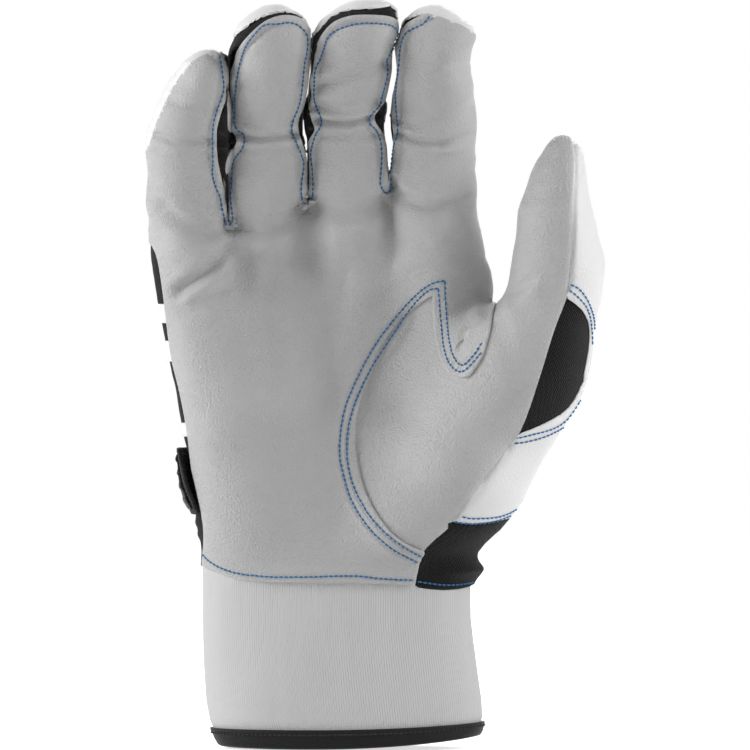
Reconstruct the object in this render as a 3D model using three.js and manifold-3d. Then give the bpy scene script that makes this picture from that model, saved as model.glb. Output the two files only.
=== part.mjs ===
// A batting glove for the right hand, filled out as if worn, standing on the rim of its cuff.
// +Z runs from the cuff to the fingertips, the palm faces -Y and the thumb is on the +X side.
// All sizes are in millimetres. A place is given by its side (X), its forward reach towards the
// palm's side (-Y) and its height (Z).
import * as THREE from 'three';
import { mergeVertices } from 'three/addons/utils/BufferGeometryUtils.js';
import Module from 'manifold-3d';

const manifold = await Module();
manifold.setup();

// Overall measure, which the hand, the cuff and the places of the panels follow
const gloveHeight = 224.1;
const unit = gloveHeight / 224.1;

// Materials and clearances
const leatherThickness = 1.4;
const seamGap = 0.36;
const fingerGap = 0.7;
const webSlope = 1.2;

// Cuff
const cuffSeamHeight = 51 * unit;
const cuffTopSide = -1.8 * unit;
const cuffTopBreadth = 81.2 * unit;
const cuffBottomSide = -0.3 * unit;
const cuffBottomBreadth = 79.4 * unit;
const cuffDepth = 40 * unit;
const cuffFairing = 16 * unit;
const knitThickness = 1.6;
const bindingHeight = 4.8;
const bindingWall = 1.2;
const bindingFloor = 1.2;
const bindingClearance = 0.3;
const ovalSteps = 40;

// How softly the parts of the hand run into each other
const palmBlend = 12 * unit;
const webBlend = 7 * unit;
const thumbBlend = 14 * unit;
const jointBlend = 5 * unit;

// Joints of the hand that fills the glove, each with the glove's radius round it
const joint = (...sizes) => {
  const [side, forward, height, radius] = sizes.map((size) => size * unit);
  return { side, forward, height, radius };
};
const palmRays = {
  little: [joint(-25, 0, 58, 17.0), joint(-34, 2, 100, 14.6), joint(-45.2, -1, 148, 12.6)],
  ring: [joint(-13, 0, 58, 17), joint(-18, -1, 100, 14.4), joint(-22.6, -3, 150, 12.8)],
  middle: [joint(0, 0, 58, 17), joint(2, -2, 100, 14.4), joint(2, -3, 152, 13.2)],
  index: [joint(17, 0, 58, 17), joint(22, -1, 100, 14.8), joint(27.6, -2, 150, 13.4)],
};
const heel = [joint(19, 3, 60, 17.0), joint(36.5, 10, 84, 17.0), joint(57.5, 13, 119, 14.6)];
const web = [joint(28, 4, 108, 11), joint(50, 9, 120, 9.5)];
const digits = {
  little: [
    joint(-45.4, -1, 148, 12.6), joint(-48.3, 1, 163, 10.9), joint(-48.0, 6, 181.5, 10.3),
    joint(-46.2, 14.5, 193, 9.6), joint(-43.2, 19.5, 200.4, 8.4),
  ],
  ring: [
    joint(-22.6, -3, 150, 12.8), joint(-22.7, 0, 166, 11.6), joint(-22.8, 5, 187, 11.0),
    joint(-22.4, 15, 201.5, 11.0), joint(-20.8, 23, 211.4, 10.8),
  ],
  middle: [
    joint(2, -3, 152, 13.2), joint(1.6, 0, 168, 11.7), joint(1.6, 5, 189, 11.1),
    joint(2.6, 15, 203.5, 11.3), joint(4.2, 23, 212.8, 10.9),
  ],
  index: [
    joint(27.6, -2, 150, 13.4), joint(27.5, 1, 168, 12.5), joint(26.9, 5, 188, 11.5),
    joint(27.4, 15, 202.5, 11.2), joint(28.9, 22.5, 211.6, 10.5),
  ],
  thumb: [
    joint(57.5, 13, 119, 14.6), joint(64.0, 16, 144, 13.8), joint(64.2, 18, 159, 11.4),
    joint(65.4, 19.5, 170, 8.8), joint(66.5, 20, 176.4, 6.8),
  ],
};
const fingerNames = ['little', 'ring', 'middle', 'index'];
// Bottom of the slit between each two fingers, from the little finger's to the index finger's
const slits = [
  { side: -34.8 * unit, height: 157.5 * unit, lean: 0 },
  { side: -11.4 * unit, height: 164.0 * unit, lean: 1.4 * unit },
  { side: 13.0 * unit, height: 167.0 * unit, lean: 3.8 * unit },
];
// Heights between which a slit leans over to where the fingertips touch
const leanStart = 186 * unit;
const leanEnd = 204 * unit;
const leanSteps = 6;

// Net that is laid over the hand before it is settled on it
const rowHeights = [66 * unit, 94 * unit, 124 * unit];
const rootHeight = 150 * unit;
const thumbSlit = { side: 45 * unit, height: 131 * unit };
const netReach = 12 * unit;
const edgeShare = 0.8;
const rimShare = 0.14;
const fingerSpokeShares = [[-0.7, 0.7], [0.7, 0.7], [0.7, -0.7], [-0.7, -0.7]];
const thumbSpokeShares = [[-0.87, 0.5], [0, 1], [0.87, 0.5], [0.87, -0.5], [0, -1], [-0.87, -0.5]];
const capShare = 0.5;
const refineRounds = 2;
const settleSteps = 8;
const slopeFloor = 0.05;
const probeStep = 0.02;
const mergeTolerance = 1e-3;

// Reaches of the cutting prisms, all well past the glove
const faceReach = 90;
const sideReach = 120;
const tipReach = 30;
const mitreFloor = 0.35;
const creaseReach = 40;
const creaseTop = 60;
const thumbSpread = 18 * unit;

// Gussets between the fingers
const gussetWidth = 8 * unit;
const gussetDrop = 9 * unit;

// Creases where the digits bend
const creaseDepth = 1.6;
const creaseClearance = 3;
const fingerFlex = 55;
const fingerStraighten = 20;
const thumbFlex = 30;
const thumbOpen = 10;
const thumbTurn = 25;
const thumbFrontReach = 4 * unit;
const insetReach = 1.5 * unit;

// Back of the hand
const knuckleHeight = 145 * unit;
const wristHeight = 98 * unit;
const slitSide = 8 * unit;
const slitHalfBreadth = 6 * unit;
const slitHeight = 88 * unit;
const barThickness = 0.7;
const layerGap = 0.5;
const barRight = 34 * unit;
const barRise = 12 * unit;
const barLeft = -44 * unit;
// The two upper bars are placed by shares of the back panel's height, the last above the strap.
const barShares = [{ low: 0.628, high: 0.745 }, { low: 0.383, high: 0.511 }];
const lowBarGap = 3;
const lowBarHeight = 4;

// Wrist closure
const strapBottom = 70.5 * unit;
const strapTop = 90.5 * unit;
const strapSewnSide = 12 * unit;
const strapThickness = 1.1;
const patchThickness = 0.8;
const patchMargin = 2;
const patchLeft = -38 * unit;
const patchRight = 6 * unit;
const hookRight = -10 * unit;
const tabThickness = 1;
const tabRight = -30 * unit;
const tabMargin = 1.5;
const tabBottomSide = -43 * unit;
const tabTopSide = -47.5 * unit;
const anchorBreadth = 11 * unit;
const strapMargin = 14 * unit;
const elasticThickness = 0.8;
const elasticBottom = 57 * unit;
const elasticTop = 65 * unit;
const elasticRight = 5 * unit;

// Outlines taken from the photograph, in its own pixels, and brought to size by the glove's height
const photoTop = 1;
const photoBottom = 748;
const photoMiddle = 345;
const perPixel = gloveHeight / (photoBottom - photoTop);

const thumbPanelPixels = [
  [500, 304], [492, 322], [482, 342], [471, 360], [462, 365], [453, 352], [449, 328], [445, 281],
  [428, 285], [410, 300], [393, 323], [373, 351], [356, 384], [343, 416], [339, 446], [343, 479],
  [354, 507], [371, 531], [393, 548], [419, 562], [430, 543], [447, 529], [460, 514], [482, 485],
  [503, 457], [521, 429], [538, 381], [553, 332], [568, 292], [573, 238], [575, 179], [574, 139],
  [574, 100], [512, 100], [504, 200], [502, 270],
];
const thumbSidePixels = [
  [414, 606], [418, 568], [434, 518], [462, 450], [482, 390], [490, 340], [498, 304], [502, 270],
  [504, 200], [512, 100], [660, 100], [660, 606],
];
const wristGussetPixels = [[380, 620], [380, 548], [434, 538], [451, 527], [502, 523], [660, 512], [660, 620]];
const thumbKnucklePixels = [
  [540, 262], [567, 296], [620, 314], [620, 368], [600, 385], [573, 403], [558, 419], [500, 436],
];
const thumbLowerPixels = [[380, 620], [380, 500], [514, 443], [571, 412], [660, 364], [660, 620]];

// The line up the middle of the side of the glove, where palm and back meet. Above the knuckles it
// opens into the strip of the gussets between the fingers.
const place = (forward, height) => ({ forward: forward * unit, height: height * unit });
const sideLine = [place(1, 0), place(1, 60), place(3, 100), place(2, 148)];
const stripLine = [
  place(0, 157), place(0.4, 166), place(5, 187), place(12, 198), place(30, 222),
];

const placeOf = (j) => new THREE.Vector3(j.side, -j.forward, j.height);

// Distance to a rod that runs from one joint to the next with a steadily changing radius.
function rodDistance(point, from, to) {
  const start = placeOf(from);
  const span = placeOf(to).sub(start);
  const reach = point.clone().sub(start);
  const share = THREE.MathUtils.clamp(reach.dot(span) / span.lengthSq(), 0, 1);
  const radius = THREE.MathUtils.lerp(from.radius, to.radius, share);
  return reach.sub(span.multiplyScalar(share)).length() - radius;
}

// The lesser of two distances, rounded where they meet.
function softMin(a, b, blend) {
  const near = Math.max(blend - Math.abs(a - b), 0) / blend;
  return Math.min(a, b) - (near * near * blend) / 4;
}

function chainDistance(point, joints, blend) {
  let distance = Infinity;
  for (let i = 1; i < joints.length; i += 1) {
    distance = softMin(distance, rodDistance(point, joints[i - 1], joints[i]), blend);
  }
  return distance;
}

function palmDistance(point) {
  let distance = Infinity;
  for (const ray of Object.values(palmRays)) {
    distance = softMin(distance, chainDistance(point, ray, jointBlend), palmBlend);
  }
  const thenar = chainDistance(point, heel, jointBlend);
  distance = softMin(distance, thenar, thumbBlend);
  return softMin(distance, chainDistance(point, web, jointBlend), thumbBlend);
}

// Distance to the cuff's oval, which the hand takes over just above the seam.
function ovalDistance(point) {
  const across = (point.x - cuffTopSide) / (cuffTopBreadth / 2);
  const deep = point.y / (cuffDepth / 2);
  return ((Math.hypot(across, deep) - 1) * cuffDepth) / 2;
}

// Side of a slit at a height.
function slitSideAt(slit, height) {
  return slit.side + slit.lean * THREE.MathUtils.smoothstep(height, leanStart, leanEnd);
}

// How far a point lies past the slit beside a finger; the slit opens out below its bottom.
function slitDistance(point, slit, direction) {
  const below = Math.max(slit.height - point.z, 0) * webSlope;
  return direction * (point.x - slitSideAt(slit, point.z)) + fingerGap / 2 - below;
}

function digitDistance(point, name) {
  const palm = palmDistance(point);
  const own = chainDistance(point, digits[name], jointBlend);
  let distance = softMin(palm, own, name === 'thumb' ? thumbBlend : webBlend);
  const place = fingerNames.indexOf(name);
  if (place > 0) distance = Math.max(distance, slitDistance(point, slits[place - 1], -1));
  if (place >= 0 && place < slits.length) {
    distance = Math.max(distance, slitDistance(point, slits[place], 1));
  }
  return distance;
}

function handDistance(point, names) {
  let distance = Infinity;
  for (const name of names) distance = Math.min(distance, digitDistance(point, name));
  const share = THREE.MathUtils.smoothstep(point.z, cuffSeamHeight, cuffSeamHeight + cuffFairing);
  return THREE.MathUtils.lerp(ovalDistance(point), distance, share);
}

// Slope of the field at a point, by small steps each way.
function slopeAt(point, names) {
  const slope = new THREE.Vector3();
  for (const axis of ['x', 'y', 'z']) {
    const ahead = point.clone();
    const behind = point.clone();
    ahead[axis] += probeStep;
    behind[axis] -= probeStep;
    const rise = handDistance(ahead, names) - handDistance(behind, names);
    slope[axis] = rise / (2 * probeStep);
  }
  return slope;
}

// Moves a point onto the surface that lies a given distance outside the hand (inside if negative).
// A point on the rim keeps its height, and one at the bottom of a slit keeps its side.
function settle(point, names, level, held) {
  for (let step = 0; step < settleSteps; step += 1) {
    const slope = slopeAt(point, names);
    if (held === 'height') slope.z = 0;
    if (held === 'side') slope.x = 0;
    const error = handDistance(point, names) - level;
    point.addScaledVector(slope, -error / Math.max(slope.lengthSq(), slopeFloor));
  }
  return point;
}

// Coarse net of four-sided faces round the hand. Each face knows the digit that it lies on, and how
// often it is split round the hand (its first side) and along it (its second side).
const net = { points: [], faces: [] };

function addPoint(side, forward, height, held) {
  net.points.push({ at: new THREE.Vector3(side, -forward, height), held });
  return net.points.length - 1;
}

function addFace(corners, digit, splits = [2, 1]) {
  net.faces.push({ corners, digit, splits });
}

function rayAt(ray, height) {
  let i = 1;
  while (i < ray.length - 1 && ray[i].height < height) i += 1;
  const share = (height - ray[i - 1].height) / (ray[i].height - ray[i - 1].height);
  return {
    side: THREE.MathUtils.lerp(ray[i - 1].side, ray[i].side, share),
    radius: THREE.MathUtils.lerp(ray[i - 1].radius, ray[i].radius, share),
  };
}

// Sides of the palm's five lines at a height: its two edges and the three lines between rays.
function palmLines(height) {
  const rays = fingerNames.map((name) => rayAt(palmRays[name], height));
  const lines = [rays[0].side - rays[0].radius * edgeShare];
  for (let i = 1; i < rays.length; i += 1) lines.push((rays[i - 1].side + rays[i].side) / 2);
  lines.push(rays[3].side + rays[3].radius * edgeShare);
  return lines;
}

// Rows of net points up the palm, each with its front and back half from edge to edge.
function palmRows() {
  const rows = [];
  const rim = { front: [], back: [] };
  for (let i = 0; i <= 4; i += 1) {
    const angle = Math.PI * THREE.MathUtils.lerp(rimShare, 1 - rimShare, i / 4);
    const side = cuffTopSide - (Math.cos(angle) * cuffTopBreadth) / 2;
    const forward = (Math.sin(angle) * cuffDepth) / 2;
    rim.front.push(addPoint(side, forward, cuffSeamHeight, 'height'));
    rim.back.push(addPoint(side, -forward, cuffSeamHeight, 'height'));
  }
  rows.push(rim);
  for (const height of rowHeights) {
    const row = { front: [], back: [] };
    palmLines(height).forEach((side, i) => {
      const last = i === 4 && height === rowHeights[2];
      const place = last ? thumbSlit : { side, height };
      row.front.push(addPoint(place.side, netReach, place.height));
      row.back.push(addPoint(place.side, -netReach, place.height));
    });
    rows.push(row);
  }
  const top = { front: [], back: [] };
  const edges = palmLines(rootHeight);
  for (let i = 0; i <= 4; i += 1) {
    const slit = slits[i - 1];
    const side = slit ? slit.side : edges[i];
    const height = slit ? slit.height - fingerGap / 2 : rootHeight;
    const held = slit ? 'side' : undefined;
    top.front.push(addPoint(side, netReach, height, held));
    top.back.push(addPoint(side, -netReach, height, held));
  }
  rows.push(top);
  return rows;
}

function coverPalm(rows) {
  for (let r = 1; r < rows.length; r += 1) {
    const [low, high] = [rows[r - 1], rows[r]];
    for (let i = 1; i <= 4; i += 1) {
      addFace([low.front[i - 1], low.front[i], high.front[i], high.front[i - 1]], 'palm');
      addFace([low.back[i], low.back[i - 1], high.back[i - 1], high.back[i]], 'palm');
    }
    addFace([low.back[0], low.front[0], high.front[0], high.back[0]], 'palm');
    const thumbRow = r === 2 || r === 3;
    if (!thumbRow) addFace([low.front[4], low.back[4], high.back[4], high.front[4]], 'palm');
  }
}

// Carries a ring of net points up a digit. Each spoke gives a ring point's share of the radius
// to the side and forward.
function coverDigit(name, base, spokes, stations, isNarrow) {
  const joints = digits[name];
  let ring = base;
  for (const index of stations) {
    const centre = placeOf(joints[index]);
    const atTip = index === joints.length - 1;
    const before = placeOf(joints[Math.max(index - 1, 0)]);
    const after = placeOf(joints[Math.min(index + 1, joints.length - 1)]);
    const along = after.sub(before).normalize();
    const across = new THREE.Vector3(1, 0, 0).addScaledVector(along, -along.x).normalize();
    if (atTip) centre.addScaledVector(along, capShare * joints[index].radius);
    const ahead = new THREE.Vector3().crossVectors(across, along);
    if (ahead.y > 0) ahead.negate();
    const next = spokes.map(([sideShare, forwardShare]) => {
      const place = centre.clone();
      place.addScaledVector(across, sideShare * joints[index].radius);
      place.addScaledVector(ahead, forwardShare * joints[index].radius);
      return addPoint(place.x, -place.y, place.z);
    });
    for (let i = 0; i < ring.length; i += 1) {
      const j = (i + 1) % ring.length;
      addFace([ring[i], ring[j], next[j], next[i]], name, isNarrow(i) ? [1, 1] : [2, 1]);
    }
    ring = next;
  }
  return ring;
}

function coverHand() {
  const rows = palmRows();
  coverPalm(rows);
  const top = rows[rows.length - 1];
  fingerNames.forEach((name, i) => {
    const base = [top.front[i], top.front[i + 1], top.back[i + 1], top.back[i]];
    const tip = coverDigit(name, base, fingerSpokeShares, [1, 2, 3, 4], () => false);
    addFace(tip, name, [2, 2]);
  });
  const base = [3, 2, 1].map((r) => rows[r].front[4]);
  base.push(...[1, 2, 3].map((r) => rows[r].back[4]));
  const tip = coverDigit('thumb', base, thumbSpokeShares, [1, 2, 3, 4], (i) => i % 3 < 2);
  addFace([tip[5], tip[0], tip[1], tip[4]], 'thumb');
  addFace([tip[4], tip[1], tip[2], tip[3]], 'thumb');
}

// Splits the faces that are to be split in this round, round the hand, along it or both ways.
function refine(round) {
  const middles = new Map();
  const middleOf = (a, b) => {
    const key = a < b ? a + '_' + b : b + '_' + a;
    if (!middles.has(key)) {
      const [one, two] = [net.points[a], net.points[b]];
      const held = one.held === two.held ? one.held : undefined;
      const at = one.at.clone().add(two.at).divideScalar(2);
      net.points.push({ at, held });
      middles.set(key, net.points.length - 1);
    }
    return middles.get(key);
  };
  const faces = net.faces;
  net.faces = [];
  for (const face of faces) {
    const [a, b, c, d] = face.corners;
    const { digit, splits } = face;
    if (splits[0] < round) {
      net.faces.push(face);
    } else if (splits[1] < round) {
      const [low, high] = [middleOf(a, b), middleOf(c, d)];
      addFace([a, low, high, d], digit, splits);
      addFace([low, b, c, high], digit, splits);
    } else {
      const at = new THREE.Vector3();
      for (const corner of face.corners) at.add(net.points[corner].at);
      net.points.push({ at: at.divideScalar(face.corners.length) });
      const centre = net.points.length - 1;
      const sides = [middleOf(a, b), middleOf(b, c), middleOf(c, d), middleOf(d, a)];
      addFace([a, sides[0], centre, sides[3]], digit, splits);
      addFace([sides[0], b, sides[1], centre], digit, splits);
      addFace([centre, sides[1], c, sides[2]], digit, splits);
      addFace([sides[3], centre, sides[2], d], digit, splits);
    }
  }
}

// Names of the digits whose surface each net point lies on; the palm's points lie on them all.
function namePoints() {
  for (const point of net.points) point.names = [];
  for (const { corners, digit } of net.faces) {
    if (digit === 'palm') continue;
    for (const corner of corners) {
      const names = net.points[corner].names;
      if (!names.includes(digit)) names.push(digit);
    }
  }
  for (const point of net.points) {
    if (!point.names.length) point.names = Object.keys(digits);
  }
}

function fitNet() {
  coverHand();
  for (let round = 0; round <= refineRounds; round += 1) {
    if (round) refine(round);
    namePoints();
    for (const point of net.points) settle(point.at, point.names, 0, point.held);
  }
}

// Keeps the faces whose corners all pass a test.
function keepPoints(test) {
  return ({ corners }) => test(corners.map((corner) => net.points[corner].at));
}

// A solid between two levels over the faces that are kept, closed round their edge.
function layer(inner, outer, keep) {
  const faces = net.faces.filter(keep);
  const levels = [inner, outer].map((level) => {
    const placed = new Map();
    return (index) => {
      if (!placed.has(index)) {
        const { at, names, held } = net.points[index];
        const start = at.clone();
        const slope = slopeAt(start, names).normalize();
        if (held === 'height') slope.z = 0;
        if (held === 'side') slope.x = 0;
        start.addScaledVector(slope, level);
        placed.set(index, settle(start, names, level, held));
      }
      return placed.get(index);
    };
  });
  const corners = [];
  const addQuad = (a, b, c, d) => corners.push(a, b, c, a, c, d);
  const edges = new Set();
  for (const face of faces) {
    face.corners.forEach((corner, i) => edges.add(corner + '_' + face.corners[(i + 1) % 4]));
  }
  for (const face of faces) {
    const [low, high] = levels.map((place) => face.corners.map(place));
    addQuad(...high);
    addQuad(...low.slice().reverse());
    face.corners.forEach((corner, i) => {
      const next = face.corners[(i + 1) % 4];
      if (edges.has(next + '_' + corner)) return;
      const j = (i + 1) % 4;
      addQuad(low[i], low[j], high[j], high[i]);
    });
  }
  const geometry = new THREE.BufferGeometry().setFromPoints(corners);
  return solidOf(geometry);
}

// A closed three.js geometry as a solid that can be cut and joined.
function solidOf(geometry) {
  const bare = geometry.clone();
  bare.deleteAttribute('normal');
  bare.deleteAttribute('uv');
  const merged = mergeVertices(bare, mergeTolerance);
  return new manifold.Manifold(new manifold.Mesh({
    numProp: 3,
    vertProperties: merged.attributes.position.array,
    triVerts: new Uint32Array(merged.index.array),
  }));
}

function outlineOf(pixels) {
  return pixels.map(([column, row]) => new THREE.Vector2(
    (column - photoMiddle) * perPixel,
    (photoBottom - row) * perPixel,
  ));
}

// Moves each side of an outline out by a distance (in if negative).
function offsetOutline(points, distance) {
  const turn = Math.sign(THREE.ShapeUtils.area(points));
  return points.map((point, i) => {
    const before = points[(i + points.length - 1) % points.length];
    const after = points[(i + 1) % points.length];
    const normals = [[before, point], [point, after]].map(([a, b]) => {
      const side = b.clone().sub(a).normalize();
      return new THREE.Vector2(side.y, -side.x).multiplyScalar(turn);
    });
    const middle = normals[0].clone().add(normals[1]).normalize();
    const stretch = Math.max(middle.dot(normals[0]), mitreFloor);
    return point.clone().addScaledVector(middle, distance / stretch);
  });
}

// A prism of an outline in side and height that runs from one forward reach back to another.
function alongForward(outline, nearest, farthest) {
  const depth = nearest - farthest;
  const geometry = new THREE.ExtrudeGeometry(new THREE.Shape(outline), { depth, bevelEnabled: false });
  geometry.rotateX(Math.PI / 2).translate(0, -farthest, 0);
  return solidOf(geometry);
}

// A prism of an outline in forward reach and height that runs from one side to another.
function alongSide(outline, from, to) {
  const shape = new THREE.Shape(outline.map((point) => new THREE.Vector2(-point.x, point.y)));
  const geometry = new THREE.ExtrudeGeometry(shape, { depth: to - from, bevelEnabled: false });
  const [x, y, z] = [[1, 0, 0], [0, 1, 0], [0, 0, 1]].map((axis) => new THREE.Vector3(...axis));
  geometry.applyMatrix4(new THREE.Matrix4().makeBasis(y, z, x)).translate(from, 0, 0);
  return solidOf(geometry);
}

function block(sides, forwards, heights) {
  const [left, right] = sides;
  const [low, high] = heights;
  const outline = [[left, low], [right, low], [right, high], [left, high]];
  return alongForward(outline.map((place) => new THREE.Vector2(...place)), forwards[1], forwards[0]);
}

// Everything on the palm's side of a line of places, each moved by a reach.
function facePrism(places, reach, turn, sides) {
  const far = turn * faceReach;
  const points = places.map(({ forward, height }) => new THREE.Vector2(forward + reach, height));
  const last = places[places.length - 1].height;
  points.push(new THREE.Vector2(far, last), new THREE.Vector2(far, places[0].height));
  return alongSide(points, sides[0], sides[1]);
}

function rootFace(turn, clearance) {
  const places = sideLine.concat(stripLine.map(({ forward, height }) => (
    { forward: forward + (turn * gussetWidth) / 2, height }
  )));
  return facePrism(places, turn * clearance, turn, [-sideReach, sideReach]);
}

// The places along the middle of a digit beyond its crease, carried on past the tip.
function digitLine(name) {
  const joints = digits[name];
  const places = joints.slice(1).map(({ forward, height }) => ({ forward, height }));
  const tip = places[places.length - 1];
  const before = places[places.length - 2];
  const share = tipReach / Math.hypot(tip.forward - before.forward, tip.height - before.height);
  places.push({
    forward: tip.forward + (tip.forward - before.forward) * share,
    height: tip.height + (tip.height - before.height) * share,
  });
  return places;
}

// Everything beyond a line beside the middle of a digit, on its palm side (turn 1) or back (-1).
function digitFace(name, turn, clearance) {
  const places = digitLine(name);
  const reach = turn * (gussetWidth / 2 + clearance);
  const outline = places.map((place, i) => {
    const before = places[Math.max(i - 1, 0)];
    const after = places[Math.min(i + 1, places.length - 1)];
    const along = new THREE.Vector2(after.forward - before.forward, after.height - before.height);
    along.normalize();
    return new THREE.Vector2(
      place.forward + along.y * reach,
      place.height - along.x * reach,
    );
  });
  const last = outline[outline.length - 1];
  const first = outline[0];
  const away = turn * faceReach;
  outline.push(new THREE.Vector2(last.x + away, last.y));
  outline.push(new THREE.Vector2(first.x + away, first.y));
  return alongSide(outline, -sideReach, sideReach);
}

const hold = seamGap / 2;
const everywhere = [-sideReach, sideReach];
const allForwards = [-faceReach, faceReach];

// Where a digit creases: the axis lies just inside the glove's front.
function creaseOf(name) {
  const joints = digits[name];
  const index = name === 'thumb' ? 1 : 2;
  const lean = Math.atan2(
    joints[index + 1].forward - joints[index - 1].forward,
    joints[index + 1].height - joints[index - 1].height,
  );
  const turn = name === 'thumb' ? THREE.MathUtils.degToRad(thumbTurn) : 0;
  const axis = new THREE.Vector3(Math.cos(turn), -Math.sin(turn), 0);
  const ahead = new THREE.Vector3(-Math.sin(turn), -Math.cos(turn), 0);
  const reach = joints[index].radius - creaseDepth;
  const at = placeOf(joints[index]).addScaledVector(ahead, reach * Math.cos(lean));
  at.z -= reach * Math.sin(lean);
  return { at, axis, lean, turn, radius: joints[index].radius };
}

// Everything beyond a digit's crease. The cut stands open by half of what the digit flexes on the
// palm's side and by half of what it straightens at the back.
function beyondCrease(name, sides, clearance) {
  const crease = creaseOf(name);
  const flex = name === 'thumb' ? thumbFlex : fingerFlex;
  const straighten = name === 'thumb' ? thumbOpen : fingerStraighten;
  const open = clearance > 0 ? 1 : -1;
  const front = -crease.lean + open * THREE.MathUtils.degToRad((flex + creaseClearance) / 2);
  const back = crease.lean + open * THREE.MathUtils.degToRad((straighten + creaseClearance) / 2);
  const outline = [
    new THREE.Vector2(0, clearance),
    new THREE.Vector2(Math.cos(front) * creaseReach, Math.sin(front) * creaseReach + clearance),
    new THREE.Vector2(creaseReach, creaseTop),
    new THREE.Vector2(-creaseReach, creaseTop),
    new THREE.Vector2(-Math.cos(back) * creaseReach, Math.sin(back) * creaseReach + clearance),
  ];
  const prism = alongSide(outline, sides[0], sides[1]);
  const angle = THREE.MathUtils.radToDeg(-crease.turn);
  return prism.rotate([0, 0, angle]).translate(crease.at.toArray());
}

// The zone of a finger between the slits beside it, above its crease.
function fingerZone(place) {
  const heights = [0, ...Array.from({ length: leanSteps + 1 }, (_, i) => (
    THREE.MathUtils.lerp(leanStart, leanEnd, i / leanSteps))), gloveHeight + tipReach];
  const edge = (slit, far) => heights.map((height) => (
    new THREE.Vector2(slit ? slitSideAt(slit, height) : far, height)));
  const left = edge(slits[place - 1], -sideReach);
  const right = edge(slits[place], sideReach);
  return alongForward([...left.reverse(), ...right], faceReach, -faceReach);
}

fitNet();
const skin = layer(-leatherThickness, 0, () => true);

// Regions of the glove. Each is held back from its seams by a clearance, or grown past them if
// the clearance is negative.
const palmFace = (clearance) => rootFace(1, clearance);
const backFace = (clearance) => rootFace(-1, clearance);

// Everything in front of a line that follows the thumb, set forward of its middle by a reach.
function aheadOfThumb(reach, clearance) {
  const places = [{ forward: 0, height: 0 }, heel[0], heel[1], ...digits.thumb];
  const line = places.map(({ forward, height }) => ({ forward: forward + reach, height }));
  line.push({ forward: line[line.length - 1].forward, height: gloveHeight });
  return facePrism(line, clearance, 1, everywhere);
}

function thumbPanel(clearance) {
  const outline = offsetOutline(outlineOf(thumbPanelPixels), -clearance);
  const ahead = aheadOfThumb(-thumbFrontReach, clearance);
  return alongForward(outline, faceReach, -faceReach).intersect(ahead);
}

function thumbSide(clearance) {
  const outline = offsetOutline(outlineOf(thumbSidePixels), -clearance);
  return alongForward(outline, faceReach, -faceReach);
}

function areaOf(pixels, clearance) {
  return alongForward(offsetOutline(outlineOf(pixels), -clearance), faceReach, -faceReach);
}

// Between the middles of the little finger and the index finger, above the slits' bottoms.
function betweenFingers(from, to, clearance) {
  const sides = [digits[fingerNames[from]][1].side + clearance, digits[fingerNames[to]][1].side - clearance];
  return block(sides, allForwards, [slits[0].height - gussetDrop, gloveHeight]);
}

// The piece itself, without the crumbs that a cut may leave beside a neighbour.
function mainPart(solid) {
  return solid.decompose().reduce((most, one) => (one.volume() > most.volume() ? one : most));
}

const pieces = [];
function add(name, solid, look) {
  pieces.push({ name, solid: mainPart(solid), look });
}

// Fingers beyond their creases
let hand = skin;
fingerNames.forEach((name, place) => {
  const zone = fingerZone(place);
  const tip = skin.intersect(beyondCrease(name, everywhere, hold).intersect(zone));
  hand = hand.subtract(beyondCrease(name, everywhere, -hold).intersect(zone));
  const back = digitFace(name, -1, hold);
  const front = digitFace(name, 1, -hold);
  const grownBack = digitFace(name, -1, -hold);
  let gusset = tip.subtract(front).subtract(grownBack);
  let face = tip.intersect(digitFace(name, 1, hold));
  if (place === 0 || place === 3) {
    const middle = digits[name][2].side;
    const grown = place === 0 ? [middle - hold, sideReach] : [-sideReach, middle + hold];
    const held = place === 0 ? [middle + hold, sideReach] : [-sideReach, middle - hold];
    gusset = gusset.intersect(block(held, allForwards, [0, gloveHeight + tipReach]));
    const strip = block(grown, allForwards, [0, gloveHeight + tipReach]);
    face = tip.subtract(grownBack).subtract(strip.subtract(digitFace(name, 1, hold)));
  }
  add(name + '_finger_front', face, 'leather');
  add(name + '_finger_back', tip.intersect(back), 'backLeather');
  add(name + '_finger_gusset', gusset, 'gusset');
});

// Thumb beyond its crease
const thumbSides = [-thumbSpread, thumbSpread];
const thumbTip = skin.intersect(beyondCrease('thumb', thumbSides, hold));
hand = hand.subtract(beyondCrease('thumb', thumbSides, -hold));
add('thumb_tip_front', thumbTip.intersect(thumbPanel(hold)), 'leather');
add('thumb_tip_back', thumbTip.subtract(thumbPanel(-hold)), 'backLeather');

// Palm, thumb panel and the gussets between the fingers
const strip = betweenFingers(0, 3, -hold).subtract(palmFace(hold));
add('palm', hand.subtract(backFace(-hold)).subtract(strip).subtract(thumbPanel(-hold))
  .subtract(thumbSide(-hold)), 'leather');
add('thumb_panel', hand.intersect(thumbPanel(hold)), 'leather');
const gussetStrip = hand.subtract(palmFace(-hold)).subtract(backFace(-hold));
['little_ring', 'ring_middle', 'middle_index'].forEach((name, place) => {
  add(name + '_gusset', gussetStrip.intersect(betweenFingers(place, place + 1, hold)), 'gusset');
});

// Backs of the fingers below their creases, and the panels across the back of the hand
const behind = hand.intersect(backFace(hold)).subtract(thumbSide(-hold));
fingerNames.forEach((name, place) => {
  const left = place ? slits[place - 1].side : -sideReach;
  const right = place < 3 ? slits[place].side : sideReach;
  const area = block([left + hold, right - hold], allForwards, [knuckleHeight + hold, gloveHeight]);
  add(name + '_knuckle_back', behind.intersect(area), 'backLeather');
});
add('back_panel', behind.intersect(
  block(everywhere, allForwards, [wristHeight + hold, knuckleHeight - hold]),
), 'stretch');

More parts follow.
